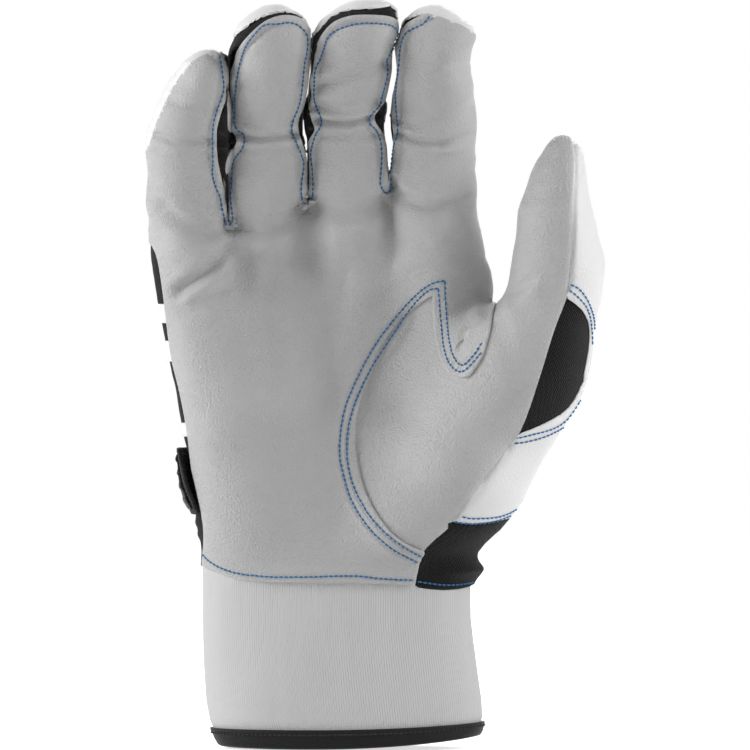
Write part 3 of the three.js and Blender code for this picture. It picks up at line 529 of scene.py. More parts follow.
@dataclass
class Sheet:
    """A thin panel: places, outward directions and triangles, with the digit of each triangle."""

    at: Array
    normal: Array
    faces: Array
    digit: Array

    def corner_normals(self) -> Array:
        """Outward direction at every point, from the triangles round it."""
        corners = self.at[self.faces]
        cross = np.cross(corners[:, 1] - corners[:, 0], corners[:, 2] - corners[:, 0])
        total = np.zeros_like(self.at)
        for i in range(3):
            np.add.at(total, self.faces[:, i], cross)
        size = np.maximum(np.linalg.norm(total, axis=1), 1e-12)
        return total / size[:, None]

    def compact(self) -> "Sheet":
        """The sheet without points that no triangle uses."""
        used, number = np.unique(self.faces, return_inverse=True)
        return Sheet(self.at[used], self.normal[used], number.reshape(-1, 3), self.digit)

    def cut(self, inside: Array) -> "Sheet":
        """Cuts the sheet along the line where a value for each point is zero.

        Args:
            inside: A value for each point, positive on the side that stays.

        Returns:
            The part that stays, with new points along the cut.
        """
        value = np.where(np.abs(inside) < 1e-6, 1e-6, inside)
        positive = value[self.faces] > 0
        count = positive.sum(axis=1)
        faces = [self.faces[count == 3]]
        digit = [self.digit[count == 3]]
        places, normals = [self.at], [self.normal]
        mixed = self.faces[(count == 1) | (count == 2)]
        if len(mixed):
            own = self.digit[(count == 1) | (count == 2)]
            sign = positive[(count == 1) | (count == 2)]
            lone_kept = sign.sum(axis=1) == 1
            lone = np.where(lone_kept[:, None], sign, ~sign).argmax(axis=1)
            row = np.arange(len(mixed))
            a = mixed[row, lone]
            b = mixed[row, (lone + 1) % 3]
            c = mixed[row, (lone + 2) % 3]
            pairs = np.concatenate([np.stack([a, b], 1), np.stack([a, c], 1)])
            edges, number = np.unique(np.sort(pairs, axis=1), axis=0, return_inverse=True)
            number = number.ravel()
            low, high = value[edges[:, 0]], value[edges[:, 1]]
            share = (low / (low - high))[:, None]
            places.append(self.at[edges[:, 0]] * (1 - share) + self.at[edges[:, 1]] * share)
            between = self.normal[edges[:, 0]] * (1 - share) + self.normal[edges[:, 1]] * share
            normals.append(between / np.linalg.norm(between, axis=1)[:, None])
            ab = number[: len(mixed)] + len(self.at)
            ac = number[len(mixed):] + len(self.at)
            kept = lone_kept
            faces.append(np.stack([a, ab, ac], 1)[kept])
            digit.append(own[kept])
            for corners in ((ab, b, c), (ab, c, ac)):
                faces.append(np.stack(corners, 1)[~kept])
                digit.append(own[~kept])
        sheet = Sheet(
            np.concatenate(places), np.concatenate(normals), np.concatenate(faces),
            np.concatenate(digit),
        )
        return sheet.compact()

    def moved(self, shift: Union[float, Array]) -> "Sheet":
        """The sheet with its points moved by a shift each, or outward by one or many distances."""
        move = shift if np.ndim(shift) == 2 else self.normal * np.reshape(shift, (-1, 1))
        sheet = Sheet(self.at + move, self.normal, self.faces, self.digit)
        sheet.normal = sheet.corner_normals()
        return sheet

    def rim(self) -> Tuple[Array, Array]:
        """The edges at the sheet's border, and the outward direction at each point along it.

        Returns:
            The edges' ends, and a direction for every point of the sheet.
        """
        edges = np.concatenate([self.faces[:, [i, (i + 1) % 3]] for i in range(3)])
        size = len(self.at)
        keys = edges[:, 0] * size + edges[:, 1]
        free = edges[~np.isin(edges[:, 1] * size + edges[:, 0], keys)]
        along = self.at[free[:, 1]] - self.at[free[:, 0]]
        out = np.zeros_like(self.at)
        for i in range(2):
            np.add.at(out, free[:, i], np.cross(along, self.normal[free[:, i]]))
        length = np.maximum(np.linalg.norm(out, axis=1), 1e-12)
        return free, out / length[:, None]

    def thick(self, thickness: float, lined: bool = False, bulge: float = 0.25) -> "Sheet":
        """Gives the sheet its thickness: a rounded cut edge, and a lining if its inside shows.

        Args:
            thickness: Thickness in millimetres.
            lined: Whether the inside is closed as well.
            bulge: How far the edge stands out, as a share of the thickness.

        Returns:
            The thick sheet.
        """
        free, out = self.rim()
        border, number = np.unique(free, return_inverse=True)
        number = number.reshape(-1, 2)
        size = len(self.at)
        normal = self.normal[border]
        first = self.at[border] + out[border] * bulge * thickness - normal * 0.35 * thickness
        second = self.at[border] - normal * thickness
        rows = [border, np.arange(len(border)) + size, np.arange(len(border)) + size + len(border)]
        places = [self.at, first, second]
        faces = [self.faces]
        if lined:
            inner = self.at - self.normal * thickness
            places = [self.at, first, inner]
            rows[2] = border + size + len(border)
            faces.append(self.faces[:, ::-1] + size + len(border))
        for near, far in zip(rows[:-1], rows[1:]):
            a, b = near[number[:, 0]], near[number[:, 1]]
            c, d = far[number[:, 1]], far[number[:, 0]]
            faces += [np.stack([b, a, d], 1), np.stack([b, d, c], 1)]
        everything = np.concatenate(faces)
        sheet = Sheet(
            np.concatenate(places), np.zeros((sum(map(len, places)), 3)), everything,
            np.full(len(everything), Digit.PALM.value),
        )
        sheet.normal = sheet.corner_normals()
        return sheet


def curve(points: Pixels, step: float = 3.0) -> Array:
    """A smooth line through points, with a place about every step.

    Args:
        points: Places in two or three measures.
        step: Length between the new places.

    Returns:
        The places along the line.
    """
    knots = np.array(points, float)
    if len(knots) < 3:
        count = max(int(np.linalg.norm(knots[-1] - knots[0]) / step), 1)
        return knots[0] + np.linspace(0, 1, count + 1)[:, None] * (knots[-1] - knots[0])
    ends = np.concatenate([[2 * knots[0] - knots[1]], knots, [2 * knots[-1] - knots[-2]]])
    line = []
    for before, start, end, after in zip(ends, ends[1:], ends[2:], ends[3:]):
        count = max(int(np.linalg.norm(end - start) / step), 1)
        t = np.linspace(0, 1, count, endpoint=False)[:, None]
        line.append(0.5 * (
            2 * start + (end - before) * t + (2 * before - 5 * start + 4 * end - after) * t ** 2
            + (3 * start - before - 3 * end + after) * t ** 3
        ))
    return np.concatenate(line + [knots[-1:]])


def outline(*strokes: Pixels) -> Array:
    """A closed outline of smooth strokes with corners between them."""
    return np.concatenate([curve(stroke) for stroke in strokes])


def even(line: Array, step: float) -> Array:
    """Places at even steps along a line."""
    along = lengths_along(line)
    count = max(int(round(along[-1] / step)), 1)
    wanted = np.linspace(0, along[-1], count + 1)
    return np.stack([np.interp(wanted, along, line[:, i]) for i in range(line.shape[1])], axis=1)


def distance_to(points: Array, line: Array) -> Array:
    """Distance from points to an open line, both in the same flat measure."""
    nearest = np.full(len(points), np.inf)
    for start, end in zip(line[:-1], line[1:]):
        _, away = from_span(points, start, end)
        nearest = np.minimum(nearest, np.linalg.norm(away, axis=1))
    return nearest


def within(points: Array, closed: Array) -> Array:
    """Signed distance from points to a closed outline, positive inside it.

    Args:
        points: Places in a flat measure.
        closed: The outline, in the same measure.

    Returns:
        A distance for each point.
    """
    loop = np.concatenate([closed, closed[:1]])
    inside = np.zeros(len(points), bool)
    x, y = points[:, 0], points[:, 1]
    for start, end in zip(loop[:-1], loop[1:]):
        if start[1] == end[1]:
            continue
        crosses = (start[1] > y) != (end[1] > y)
        across = (end[0] - start[0]) * (y - start[1]) / (end[1] - start[1]) + start[0]
        inside ^= crosses & (x < across)
    return np.where(inside, 1.0, -1.0) * distance_to(points, loop)


@dataclass(frozen=True)
class Lens:
    """The camera's place and scale, so that places can be given in the picture's pixels."""

    distance: float = 2400.0
    width: int = 750
    per_pixel: float = 0.3
    middle_side: float = 9.0
    middle_height: float = 111.9

    def pixels(self, at: Array) -> Array:
        """The picture's pixels at which places show."""
        scale = self.distance / (self.distance + at[:, 1]) / self.per_pixel
        half = self.width / 2
        across = half + (at[:, 0] - self.middle_side) * scale
        down = half - (at[:, 2] - self.middle_height) * scale
        return np.stack([across, down], axis=1)

    def ray(self, pixel: Array, plane: float) -> Array:
        """The place on an upright plane at a depth that shows at a pixel."""
        scale = self.per_pixel * (self.distance + plane) / self.distance
        half = self.width / 2
        return np.array((
            self.middle_side + (pixel[0] - half) * scale, plane,
            self.middle_height - (pixel[1] - half) * scale,
        ))


@dataclass(frozen=True)
class Fold:
    """A crease or ridge along a line in the picture: its width, and its depth if negative."""

    line: Pixels
    width: float
    rise: float

    def lift(self, pixels: Array, per_pixel: float) -> Array:
        """How far the fold raises each point, in millimetres."""
        distance = distance_to(pixels, curve(self.line)) * per_pixel
        near = bell(distance, self.width)
        shoulder = bell(distance - 1.9 * self.width, self.width)
        return self.rise * (near - 0.35 * shoulder)


@dataclass(frozen=True)
class Fit:
    """Moves one edge of a digit sideways, by an amount in pixels at rows of the picture."""

    digits: Tuple[int, ...]
    side: int
    edge: Pixels
    moves: Pixels
    reach: float

    def shift(self, sheet: "Sheet", masks: Array, lens: "Lens") -> Array:
        """How far each point moves to the side, in millimetres."""
        pixels = lens.pixels(sheet.at)
        edge = np.array(self.edge, float)
        moves = np.array(self.moves, float)
        line = np.interp(pixels[:, 1], edge[:, 0], edge[:, 1])
        amount = np.interp(pixels[:, 1], moves[:, 0], moves[:, 1], left=moves[0, 1], right=0)
        inward = (line - pixels[:, 0]) * self.side * lens.per_pixel
        share = 1 - smoothstep(inward, 1.0, self.reach)
        own = masks[:, list(self.digits)].any(axis=1)
        return np.where(own, amount * share * lens.per_pixel, 0)


EDGE_FITS = (
    Fit((0, 5), -1, ((40, 200), (50, 189), (86, 157), (122, 150), (206, 142), (310, 161),
                     (398, 178), (600, 206)),
        ((44, 10), (56, 10), (62, 8), (86, 8.5), (98, 7), (110, 2), (122, 0), (170, 0),
         (194, 3), (218, 5), (230, 3), (266, 3.5), (278, 2), (302, -3), (376, -3), (398, -1),
         (420, 1), (442, 0), (520, -3), (600, -2)), 20.0),
    Fit((3, 5), 1, ((14, 467), (32, 476), (62, 480), (98, 477), (158, 479), (182, 483),
                    (242, 489), (266, 487), (290, 481)),
        ((8, -12), (14, -10), (20, -8), (26, -2), (38, -2), (50, -6), (62, -9), (74, -8),
         (86, -4), (98, -2), (158, -2), (170, -6), (254, -6), (266, -1), (274, 0)), 16.0),
    Fit((3,), -1, ((14, 416), (26, 408), (50, 401), (86, 396), (122, 390), (170, 390)),
        ((8, -5), (20, -8), (32, -7), (50, -7), (62, -5), (98, -3), (116, 0)), 9.0),
    Fit((2,), 1, ((2, 377), (8, 384), (20, 394), (50, 396), (98, 391), (146, 388)),
        ((2, 14), (8, 13), (14, 8), (20, 5), (30, 3), (44, -2), (56, -4), (134, -3.5),
         (150, 0)), 9.0),
    Fit((2,), -1, ((2, 341), (14, 328), (38, 318), (62, 312), (180, 308)),
        ((2, 6), (14, 0), (20, -4), (26, -6), (32, -9), (38, -8), (44, -6), (50, -3.5),
         (62, -2), (74, -2.5), (86, -3.5), (98, -5), (105, -5.5), (113, -7), (122, -6.5),
         (134, -5.5), (146, -4), (160, -2), (175, 0)), 9.0),
    Fit((0,), 1, ((50, 224), (62, 226), (90, 227.5), (110, 223.5), (125, 221), (137, 219),
                  (150, 218.5), (160, 218.6), (170, 220), (180, 222.5), (190, 225.5), (210, 229)),
        ((50, 2), (62, 2), (90, 1), (110, 5), (125, 7.5), (137, 9.5), (150, 10), (160, 10),
         (170, 8.5), (180, 6), (190, 3), (200, 1), (210, 0)), 9.0),
    Fit((1,), -1, ((8, 255), (20, 244), (38, 238), (50, 234), (62, 229)),
        ((2, 1), (8, 2), (16, 0), (24, -3), (32, -5), (50, -4), (62, 0)), 9.0),
    Fit((1,), 1, ((8, 294), (20, 307), (50, 312), (98, 307), (180, 307)),
        ((2, 0), (8, -2), (16, 0), (104, 0), (118, -3.5), (136, -3.5), (150, 0)), 9.0),
    Fit((4, 5), 1, ((146, 588), (182, 601), (206, 602), (230, 605), (254, 609), (266, 611),
                    (278, 610), (302, 604), (332, 601), (354, 599), (376, 593), (398, 580),
                    (420, 562), (442, 546), (464, 536), (486, 527), (508, 515), (530, 493)),
        ((146, -9), (182, -12), (206, -10), (230, -7), (254, -5), (278, -6), (302, -2),
         (332, -7), (354, -7), (376, -6), (398, 1), (420, 7), (442, 8), (464, 5), (486, 2),
         (508, 3), (530, 5), (548, 0)), 14.0),
)


FRONT_FOLDS = (
    Fold(((290, 255), (330, 300), (372, 345), (380, 390)), 17.0, -3.6),
    Fold(((404, 322), (398, 360), (400, 400)), 8.0, -1.6),
    Fold(((412, 300), (424, 330), (432, 360)), 6.0, -0.9),
    Fold(((430, 440), (452, 400), (480, 370)), 15.0, 1.6),
    Fold(((215, 330), (225, 420), (245, 500)), 16.0, 1.2),
    Fold(((262, 244), (276, 246), (290, 240)), 4.5, 1.2),
    Fold(((338, 236), (352, 238), (366, 234)), 5.0, 1.2),
    Fold(((415, 228), (436, 236), (456, 234)), 5.0, 1.0),
    Fold(((185, 246), (200, 252), (216, 252)), 4.5, 0.9),
    Fold(((231, 242), (237, 266), (246, 290)), 5.0, -0.6),
    Fold(((304, 222), (302, 245), (300, 280)), 6.0, -0.5),
    Fold(((386, 212), (383, 236), (376, 262)), 6.0, -0.5),
    Fold(((322, 84), (342, 79), (365, 72), (385, 64)), 1.5, -1.09),
    Fold(((323, 104), (345, 108), (380, 98)), 1.2, -0.32),
    Fold(((319, 119), (333, 121), (350, 121.5), (365, 118), (375, 115)), 1.0, -1.3),
    Fold(((318, 134), (345, 136), (380, 134)), 1.0, -0.51),
    Fold(((241, 84), (268, 85), (303, 82)), 1.3, -0.43),
    Fold(((238, 133), (262, 137), (295, 133)), 1.2, -1.16),
    Fold(((240, 147), (265, 149), (298, 146)), 1.0, -0.36),
    Fold(((397, 133), (420, 141), (445, 143), (476, 132)), 1.1, -1.09),
    Fold(((396, 120), (425, 124), (455, 116), (475, 104)), 1.3, -0.36),
    Fold(((440, 146), (462, 144), (478, 136)), 0.9, -0.51),
    Fold(((172, 102), (195, 108), (222, 108)), 1.2, -0.43),
    Fold(((158, 134), (180, 141), (212, 139)), 1.2, -1.09),
    Fold(((160, 150), (185, 155), (212, 152)), 1.0, -0.32),
    Fold(((393, 183), (408, 199), (428, 208), (448, 207), (466, 198)), 1.6, -1.38),
    Fold(((396, 196), (415, 214), (440, 218), (465, 210)), 1.4, -0.36),
    Fold(((312, 204), (338, 214), (366, 212), (384, 197)), 2.3, -1.1),
    Fold(((233, 222), (258, 232), (285, 225), (303, 208)), 2.5, -1.3),
    Fold(((165, 208), (190, 226), (212, 232), (227, 228)), 2.4, -1.0),
    Fold(((304, 206), (303, 226), (296, 262)), 1.6, -0.35),
    Fold(((386, 198), (387, 216), (380, 246)), 1.6, -0.3),
    Fold(((226, 248), (214, 262), (200, 276), (182, 290)), 1.8, -1.5),
    Fold(((224, 268), (210, 282), (192, 298)), 2.0, 0.8),
    Fold(((302, 285), (303, 335), (300, 395)), 5.0, 0.7),
    Fold(((266, 262), (264, 320), (272, 380)), 5.0, -0.7),
    Fold(((338, 285), (332, 345), (326, 400)), 5.0, -0.6),
    Fold(((240, 215), (250, 190), (252, 160)), 4.0, -0.6),
    Fold(((494, 298), (480, 276), (466, 256), (452, 244)), 2.4, -0.7),
    Fold(((467, 345), (472, 334), (480, 327)), 0.9, -0.72),
    Fold(((462, 352), (468, 340), (477, 336)), 0.8, 0.43),
    Fold(((489, 312), (500, 330), (512, 352), (520, 372)), 2.2, -0.5),
    Fold(((512, 262), (520, 290), (532, 310)), 2.0, -0.3),
    Fold(((505, 300), (518, 322), (530, 336)), 1.4, 0.32),
    Fold(((530, 200), (545, 196), (562, 200)), 1.5, -0.29),
    Fold(((322, 95), (345, 97), (380, 85)), 1.6, 0.45),
    Fold(((322, 112), (345, 115), (374, 109)), 1.2, 0.4),
    Fold(((236, 140), (262, 143), (295, 139)), 1.2, 0.35),
    Fold(((330, 215), (334, 250), (330, 285)), 2.4, 0.5),
    Fold(((262, 238), (262, 265), (252, 300)), 2.4, 0.4),
    Fold(((488, 322), (508, 298), (530, 280)), 1.6, -0.7),
    Fold(((496, 330), (514, 306), (536, 290)), 2.2, 0.4),
)


@dataclass(frozen=True)
class Pattern:
    """The glove's cutting pattern, as outlines in the picture's pixels."""

    ulnar_edge: Pixels = (
        (204, 566), (203.5, 553), (204, 540), (203.5, 526), (201, 510), (196.5, 489), (192, 469),
        (189.5, 449), (188, 436), (184, 412), (179, 388), (173, 364), (169, 340), (166, 316),
        (163, 291), (159, 265), (155.5, 252), (150, 243), (141, 238), (120, 235),
    )
    little_side: Pixels = (
        (120, 172), (140, 160), (150, 143), (155, 128), (160, 115), (172, 90), (184, 72),
        (195, 60), (207, 55), (219, 54),
    )
    little_edge: Pixels = (
        (219, 54), (226, 59), (228, 77), (228, 92), (223, 106), (219, 119), (216, 134),
        (217, 159), (221, 178), (224, 192), (228.4, 214),
    )
    ring_edge: Pixels = (
        (229.6, 214), (225, 192), (225, 182), (226.8, 165), (230, 154), (236.4, 144.5),
        (236, 136), (229, 128.4), (227.8, 115), (226.8, 100), (227.8, 86), (230, 75),
        (234.5, 63), (238, 50), (250, 35), (265, 22), (281, 16), (296, 17), (306, 23),
        (311.5, 35), (311, 50), (309, 69), (307.3, 86), (303.4, 107), (299.5, 115),
        (297.7, 124), (299, 134), (304.4, 151), (306.5, 163), (306.8, 192),
    )
    middle_edge: Pixels = (
        (307.6, 192), (307.8, 165), (308.5, 143), (315, 131), (313, 122), (309.4, 109),
        (309.4, 86), (313, 63), (316, 48), (323, 34), (334, 22.5), (351, 16.3), (372, 15.5),
        (391, 17.6), (400.5, 24), (400, 34), (396, 45), (391.5, 57), (391, 71), (387, 92),
        (384, 102), (378, 110), (374, 117), (376, 124), (382, 133), (386, 146), (387, 163),
        (387.6, 182),
    )
    index_edge: Pixels = (
        (389, 182), (391.6, 165), (393.5, 146), (393.8, 134), (392.5, 122), (392.5, 107),
        (393.5, 88), (394.4, 69), (396, 52), (401, 34.5), (406, 25), (413, 20), (422, 15.5),
        (427, 13.8),
    )
    index_top: Pixels = ((427, 13.8), (449, 20.7), (466, 28), (478, 36), (497, 44))
    web_side: Pixels = (
        (497, 44), (494, 200), (494.5, 262), (496, 290), (495.5, 303), (493, 318), (488, 340),
        (483, 357),
    )
    tongue_edge: Pixels = (
        (483, 357), (476, 368), (468, 377), (455, 375), (446, 366), (439, 346), (435, 322),
        (434, 293.5),
    )
    arc_edge: Pixels = (
        (434, 293.5), (416, 306), (397, 323.7), (382, 347), (370, 373), (358.5, 406),
        (354.6, 440), (359, 473), (370, 502), (386, 527), (403, 542), (424, 551),
    )
    heel_edge: Pixels = ((424, 551), (418.5, 562), (416, 573), (414, 585))
    wrist_edge: Pixels = (
        (414, 585), (384, 583), (343, 582.5), (302, 582), (274, 581.5), (241, 578.5),
        (221, 572.5), (204, 566),
    )
    thumb_seam: Pixels = (
        (574, 90), (574, 139), (575.5, 157), (575.5, 179), (574, 206), (573, 238), (571, 271),
        (568, 292), (553, 332), (538, 381), (521, 429), (502, 458), (482, 485), (460, 514),
        (447, 529), (432, 542), (421, 557), (412, 600),
    )
    knee: Pixels = (
        (540, 280), (560, 290), (567, 297), (576, 303.5), (584.5, 312), (590, 325), (590, 344),
        (586.5, 366), (580, 391), (568.5, 409), (555, 419), (532, 430), (500, 441),
    )

    strip_top: Pixels = (
        (219, 54), (226, 42), (229, 38), (250, 21.5), (263, 14.5), (277, 10.3), (290, 10.3),
        (301.5, 14), (307, 19.5), (311, 33), (319, 27.5), (330, 15.5), (347.5, 8.2), (372, 6.2),
        (391.5, 3.8), (398, 7), (400, 19), (402.7, 23), (406, 18.5), (414.5, 14.5), (424, 12.5),
        (427, 13.8),
    )
    thumb_side: Pixels = (
        (414, 640), (414, 606), (418, 568), (434, 518), (462, 450), (482, 390), (490, 340),
        (498, 304), (502, 270), (504, 200), (512, 100), (512, 60), (700, 60), (700, 640),
    )
    thumb_lower: Pixels = (
        (380, 660), (380, 490), (500, 424), (531, 414), (552, 403), (568, 390), (580, 384),
        (602, 376), (700, 338), (700, 660),
    )
    wrist_gusset: Pixels = (
        (380, 660), (380, 560), (430, 541), (441, 532), (451, 526.3), (472.9, 528),
        (501.9, 524), (520, 519), (700, 505), (700, 660),
    )

    def leather(self) -> Array:
        """Outline of the palm's leather with the fronts of the four fingers."""
        return outline(
            self.ulnar_edge, self.little_side, self.little_edge, self.ring_edge,
            self.middle_edge, self.index_edge, self.index_top, self.web_side,
            self.tongue_edge, self.arc_edge, self.heel_edge, self.wrist_edge,
        )

    def in_front(self) -> Array:
        """Outline of all that lies before the fingers' white backs."""
        return outline(
            self.ulnar_edge, self.little_side, self.strip_top, self.index_top, self.web_side,
            ((483, 357), (204, 566)),
        )

    def flanges(self) -> Tuple[Pixels, ...]:
        """Edges at which the leather is joined edge to edge and stands out."""
        return (self.little_edge, self.ring_edge, self.middle_edge, self.index_edge)

    def thumb_front(self) -> Array:
        """Outline of the thumb's front leather, open beneath the palm's edge."""
        return outline(
            self.thumb_seam, ((412, 600), (320, 600)), ((320, 600), (320, 260)),
            ((320, 260), (470, 260)), ((470, 260), (480, 90)), ((480, 90), (574, 90)),
        )


@dataclass(frozen=True)
class RootLine:
    """The line up the side of the hand where palm and back meet, by height and forward reach."""

    heights: Tuple[float, ...] = (0, 60, 100, 148)
    reaches: Tuple[float, ...] = (1, 1, 3, 2)

    def places(self, joints: Sequence[Joint]) -> Array:
        """The line for one digit, carried on past its tip, as forward reach and height."""
        line = [(reach, height) for height, reach in zip(self.heights, self.reaches)]
        line += [(joint.forward, joint.height) for joint in joints[1:]]
        before, last = np.array(line[-2]), np.array(line[-1])
        beyond = last + (last - before) * 30 / np.linalg.norm(last - before)
        return np.array(line + [tuple(beyond)])


def reach_from(points: Array, line: Array) -> Array:
    """How far points lie ahead of a line in the side view, negative behind it.

    Args:
        points: Places of the form.
        line: Places as forward reach and height, from the cuff upwards.

    Returns:
        A signed distance for each point.
    """
    flat = np.stack([-points[:, 1], points[:, 2]], axis=1)
    nearest = np.full(len(points), np.inf)
    sign = np.ones(len(points))
    for start, end in zip(line[:-1], line[1:]):
        _, away = from_span(flat, start, end)
        distance = np.linalg.norm(away, axis=1)
        reach = flat - start
        side = reach[:, 0] * (end - start)[1] - reach[:, 1] * (end - start)[0]
        closer = distance < nearest
        sign = np.where(closer, np.sign(side), sign)
        nearest = np.where(closer, distance, nearest)
    return sign * nearest


class Glove:
    """The form, the fine net and the values along which panels are cut from it."""

    web = (42.5, 137.0)
    web_reach = 11.0
    web_move = (3.0, -2.8)
    leather_wrap = 4.0

    def __init__(self, form: HandForm, lens: Lens, pattern: Pattern) -> None:
        """Settles the net and works out its cutting values."""
        self.form = form
        self.lens = lens
        self.pattern = pattern
        self.root_line = RootLine()
        self.shift = self.frame_shift()
        self.plain = HandNet(form, rounds=5).surface()
        self.leather_outline = pattern.leather()
        self.thumb_outline = pattern.thumb_front()
        self.base = self.folded(self.plain)

    def frame_shift(self) -> Array:
        """Where the form's origin lies in the frame, in millimetres, from the cuff's place."""
        low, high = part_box("knit_cuff")
        middle = (np.array(low) + np.array(high)) / 2 / MM
        ends = list(zip(self.form.cuff_side, self.form.cuff_breadth))
        left = min(side - breadth / 2 for side, breadth in ends)
        right = max(side + breadth / 2 for side, breadth in ends)
        return np.array((middle[0] - (left + right) / 2, middle[1], 0))

    def folded(self, sheet: Sheet) -> Sheet:
        """The net with the folds that show on the palm's side pressed into it."""
        sheet = self.fitted(sheet)
        pixels = self.lens.pixels(sheet.at)
        facing = smoothstep(-sheet.normal[:, 1], 0.0, 0.45)
        lift = np.zeros(len(sheet.at))
        for fold in FRONT_FOLDS:
            lift += fold.lift(pixels, self.lens.per_pixel)
        return sheet.moved(lift * facing)

    def fitted(self, sheet: Sheet) -> Sheet:
        """The net with its outline brought to the picture's, and the thumb's web set deeper.

        Args:
            sheet: The settled net.

        Returns:
            The fitted net.
        """
        masks = np.zeros((len(sheet.at), 6), bool)
        for place in range(6):
            masks[np.unique(sheet.faces[sheet.digit == place]), place] = True
        shift = np.zeros_like(sheet.at)
        for fit in EDGE_FITS:
            shift[:, 0] += fit.shift(sheet, masks, self.lens)
        away = np.hypot(sheet.at[:, 0] - self.web[0], sheet.at[:, 2] - self.web[1])
        near = bell(away, self.web_reach)
        shift[:, 0] += near * self.web_move[0]
        shift[:, 2] += near * self.web_move[1]
        return sheet.moved(shift)

    def reach(self, sheet: Sheet) -> Array:
        """How far each point lies ahead of the side line of the digit that is nearest."""
        lines = [self.root_line.places(joints) for joints in self.form.digits[:4]]
        middles = [joints[1].side for joints in self.form.digits[:4]]
        limits = [side for side, _ in self.form.slits]
        place = np.searchsorted(limits, sheet.at[:, 0])
        result = np.zeros(len(sheet.at))
        for number in range(len(middles)):
            rows = place == number
            result[rows] = reach_from(sheet.at[rows], lines[number])
        return result

    def ahead(self, sheet: Sheet) -> Array:
        """How far each point lies ahead of the middle of the thumb."""
        joints = (self.form.heel[0], self.form.heel[1]) + self.form.digits[Digit.THUMB.value]
        line = [(0.0, 0.0)] + [(joint.forward, joint.height) for joint in joints]
        line.append((line[-1][0], 230.0))
        return reach_from(sheet.at, np.array(line))

    def leather(self, sheet: Sheet, reach: Optional[Array] = None) -> Array:
        """How far each point lies inside the palm's leather, in millimetres."""
        along = self.reach(sheet) if reach is None else reach
        return np.minimum(self.inside(sheet, self.leather_outline), along + self.leather_wrap)

    def inside(self, sheet: Sheet, closed: Pixels) -> Array:
        """How far each point lies inside an outline in the picture, in millimetres."""
        outer = np.array(closed, float)
        return within(self.lens.pixels(sheet.at), outer) * self.lens.per_pixel

    def beside(self, sheet: Sheet, *lines: Pixels) -> Array:
        """How far each point lies from the nearest of some lines in the picture, in millimetres."""
        pixels = self.lens.pixels(sheet.at)
        return least(*(distance_to(pixels, curve(line)) for line in lines)) * self.lens.per_pixel

    def above(self, sheet: Sheet, line: Pixels) -> Array:
        """How far each point lies above a line across the picture, in millimetres."""
        pixels = self.lens.pixels(sheet.at)
        across, down = np.array(line, float).T
        return (np.interp(pixels[:, 0], across, down) - pixels[:, 1]) * self.lens.per_pixel

    def place(self, points: Array) -> Array:
        """Places of the form as places in the frame, in metres."""
        return (points + self.shift) * MM


class Tree:
    """A sheet that rays can be cast on."""

    row_step = 0.8
    far_behind = 60.0

    def __init__(self, sheet: Sheet, lens: Lens) -> None:
        """Builds the search tree of a sheet."""
        self.tree = BVHTree.FromPolygons(sheet.at.tolist(), sheet.faces.tolist())
        self.lens = lens

    def hit(self, starts: Sequence[Vector], ways: Sequence[Vector]) -> Tuple[Array, Array]:
        """Casts rays on the sheet.

        Args:
            starts: Where the rays start.
            ways: Their directions.

        Returns:
            The places that they hit and the outward directions there. Rays that miss are left out.
        """
        places, normals = [], []
        for start, way in zip(starts, ways):
            place, normal, _, _ = self.tree.ray_cast(start, way)
            if place is not None:
                places.append(place[:])
                normals.append((normal if normal.y * way.y < 0 else -normal)[:])
        return np.array(places), np.array(normals)

    def rows(self, lines: Sequence[Pixels]) -> List[Tuple[Array, Array]]:
        """Places and outward directions along lines of the picture, one pair for each line."""
        eye = Vector((self.lens.middle_side, -self.lens.distance, self.lens.middle_height))
        found = []
        for line in lines:
            pixels = even(curve(line), self.row_step)
            ways = [(Vector(self.lens.ray(pixel, 0.0)) - eye).normalized() for pixel in pixels]
            found.append(self.hit([eye] * len(ways), ways))
        return found

    def from_behind(self, sides: Array, heights: Array) -> Tuple[Array, Array]:
        """Places and outward directions on the glove's back, by their sides and heights."""
        starts = [Vector((side, self.far_behind, height)) for side, height in zip(sides, heights)]
        return self.hit(starts, [Vector((0, -1.0, 0))] * len(starts))


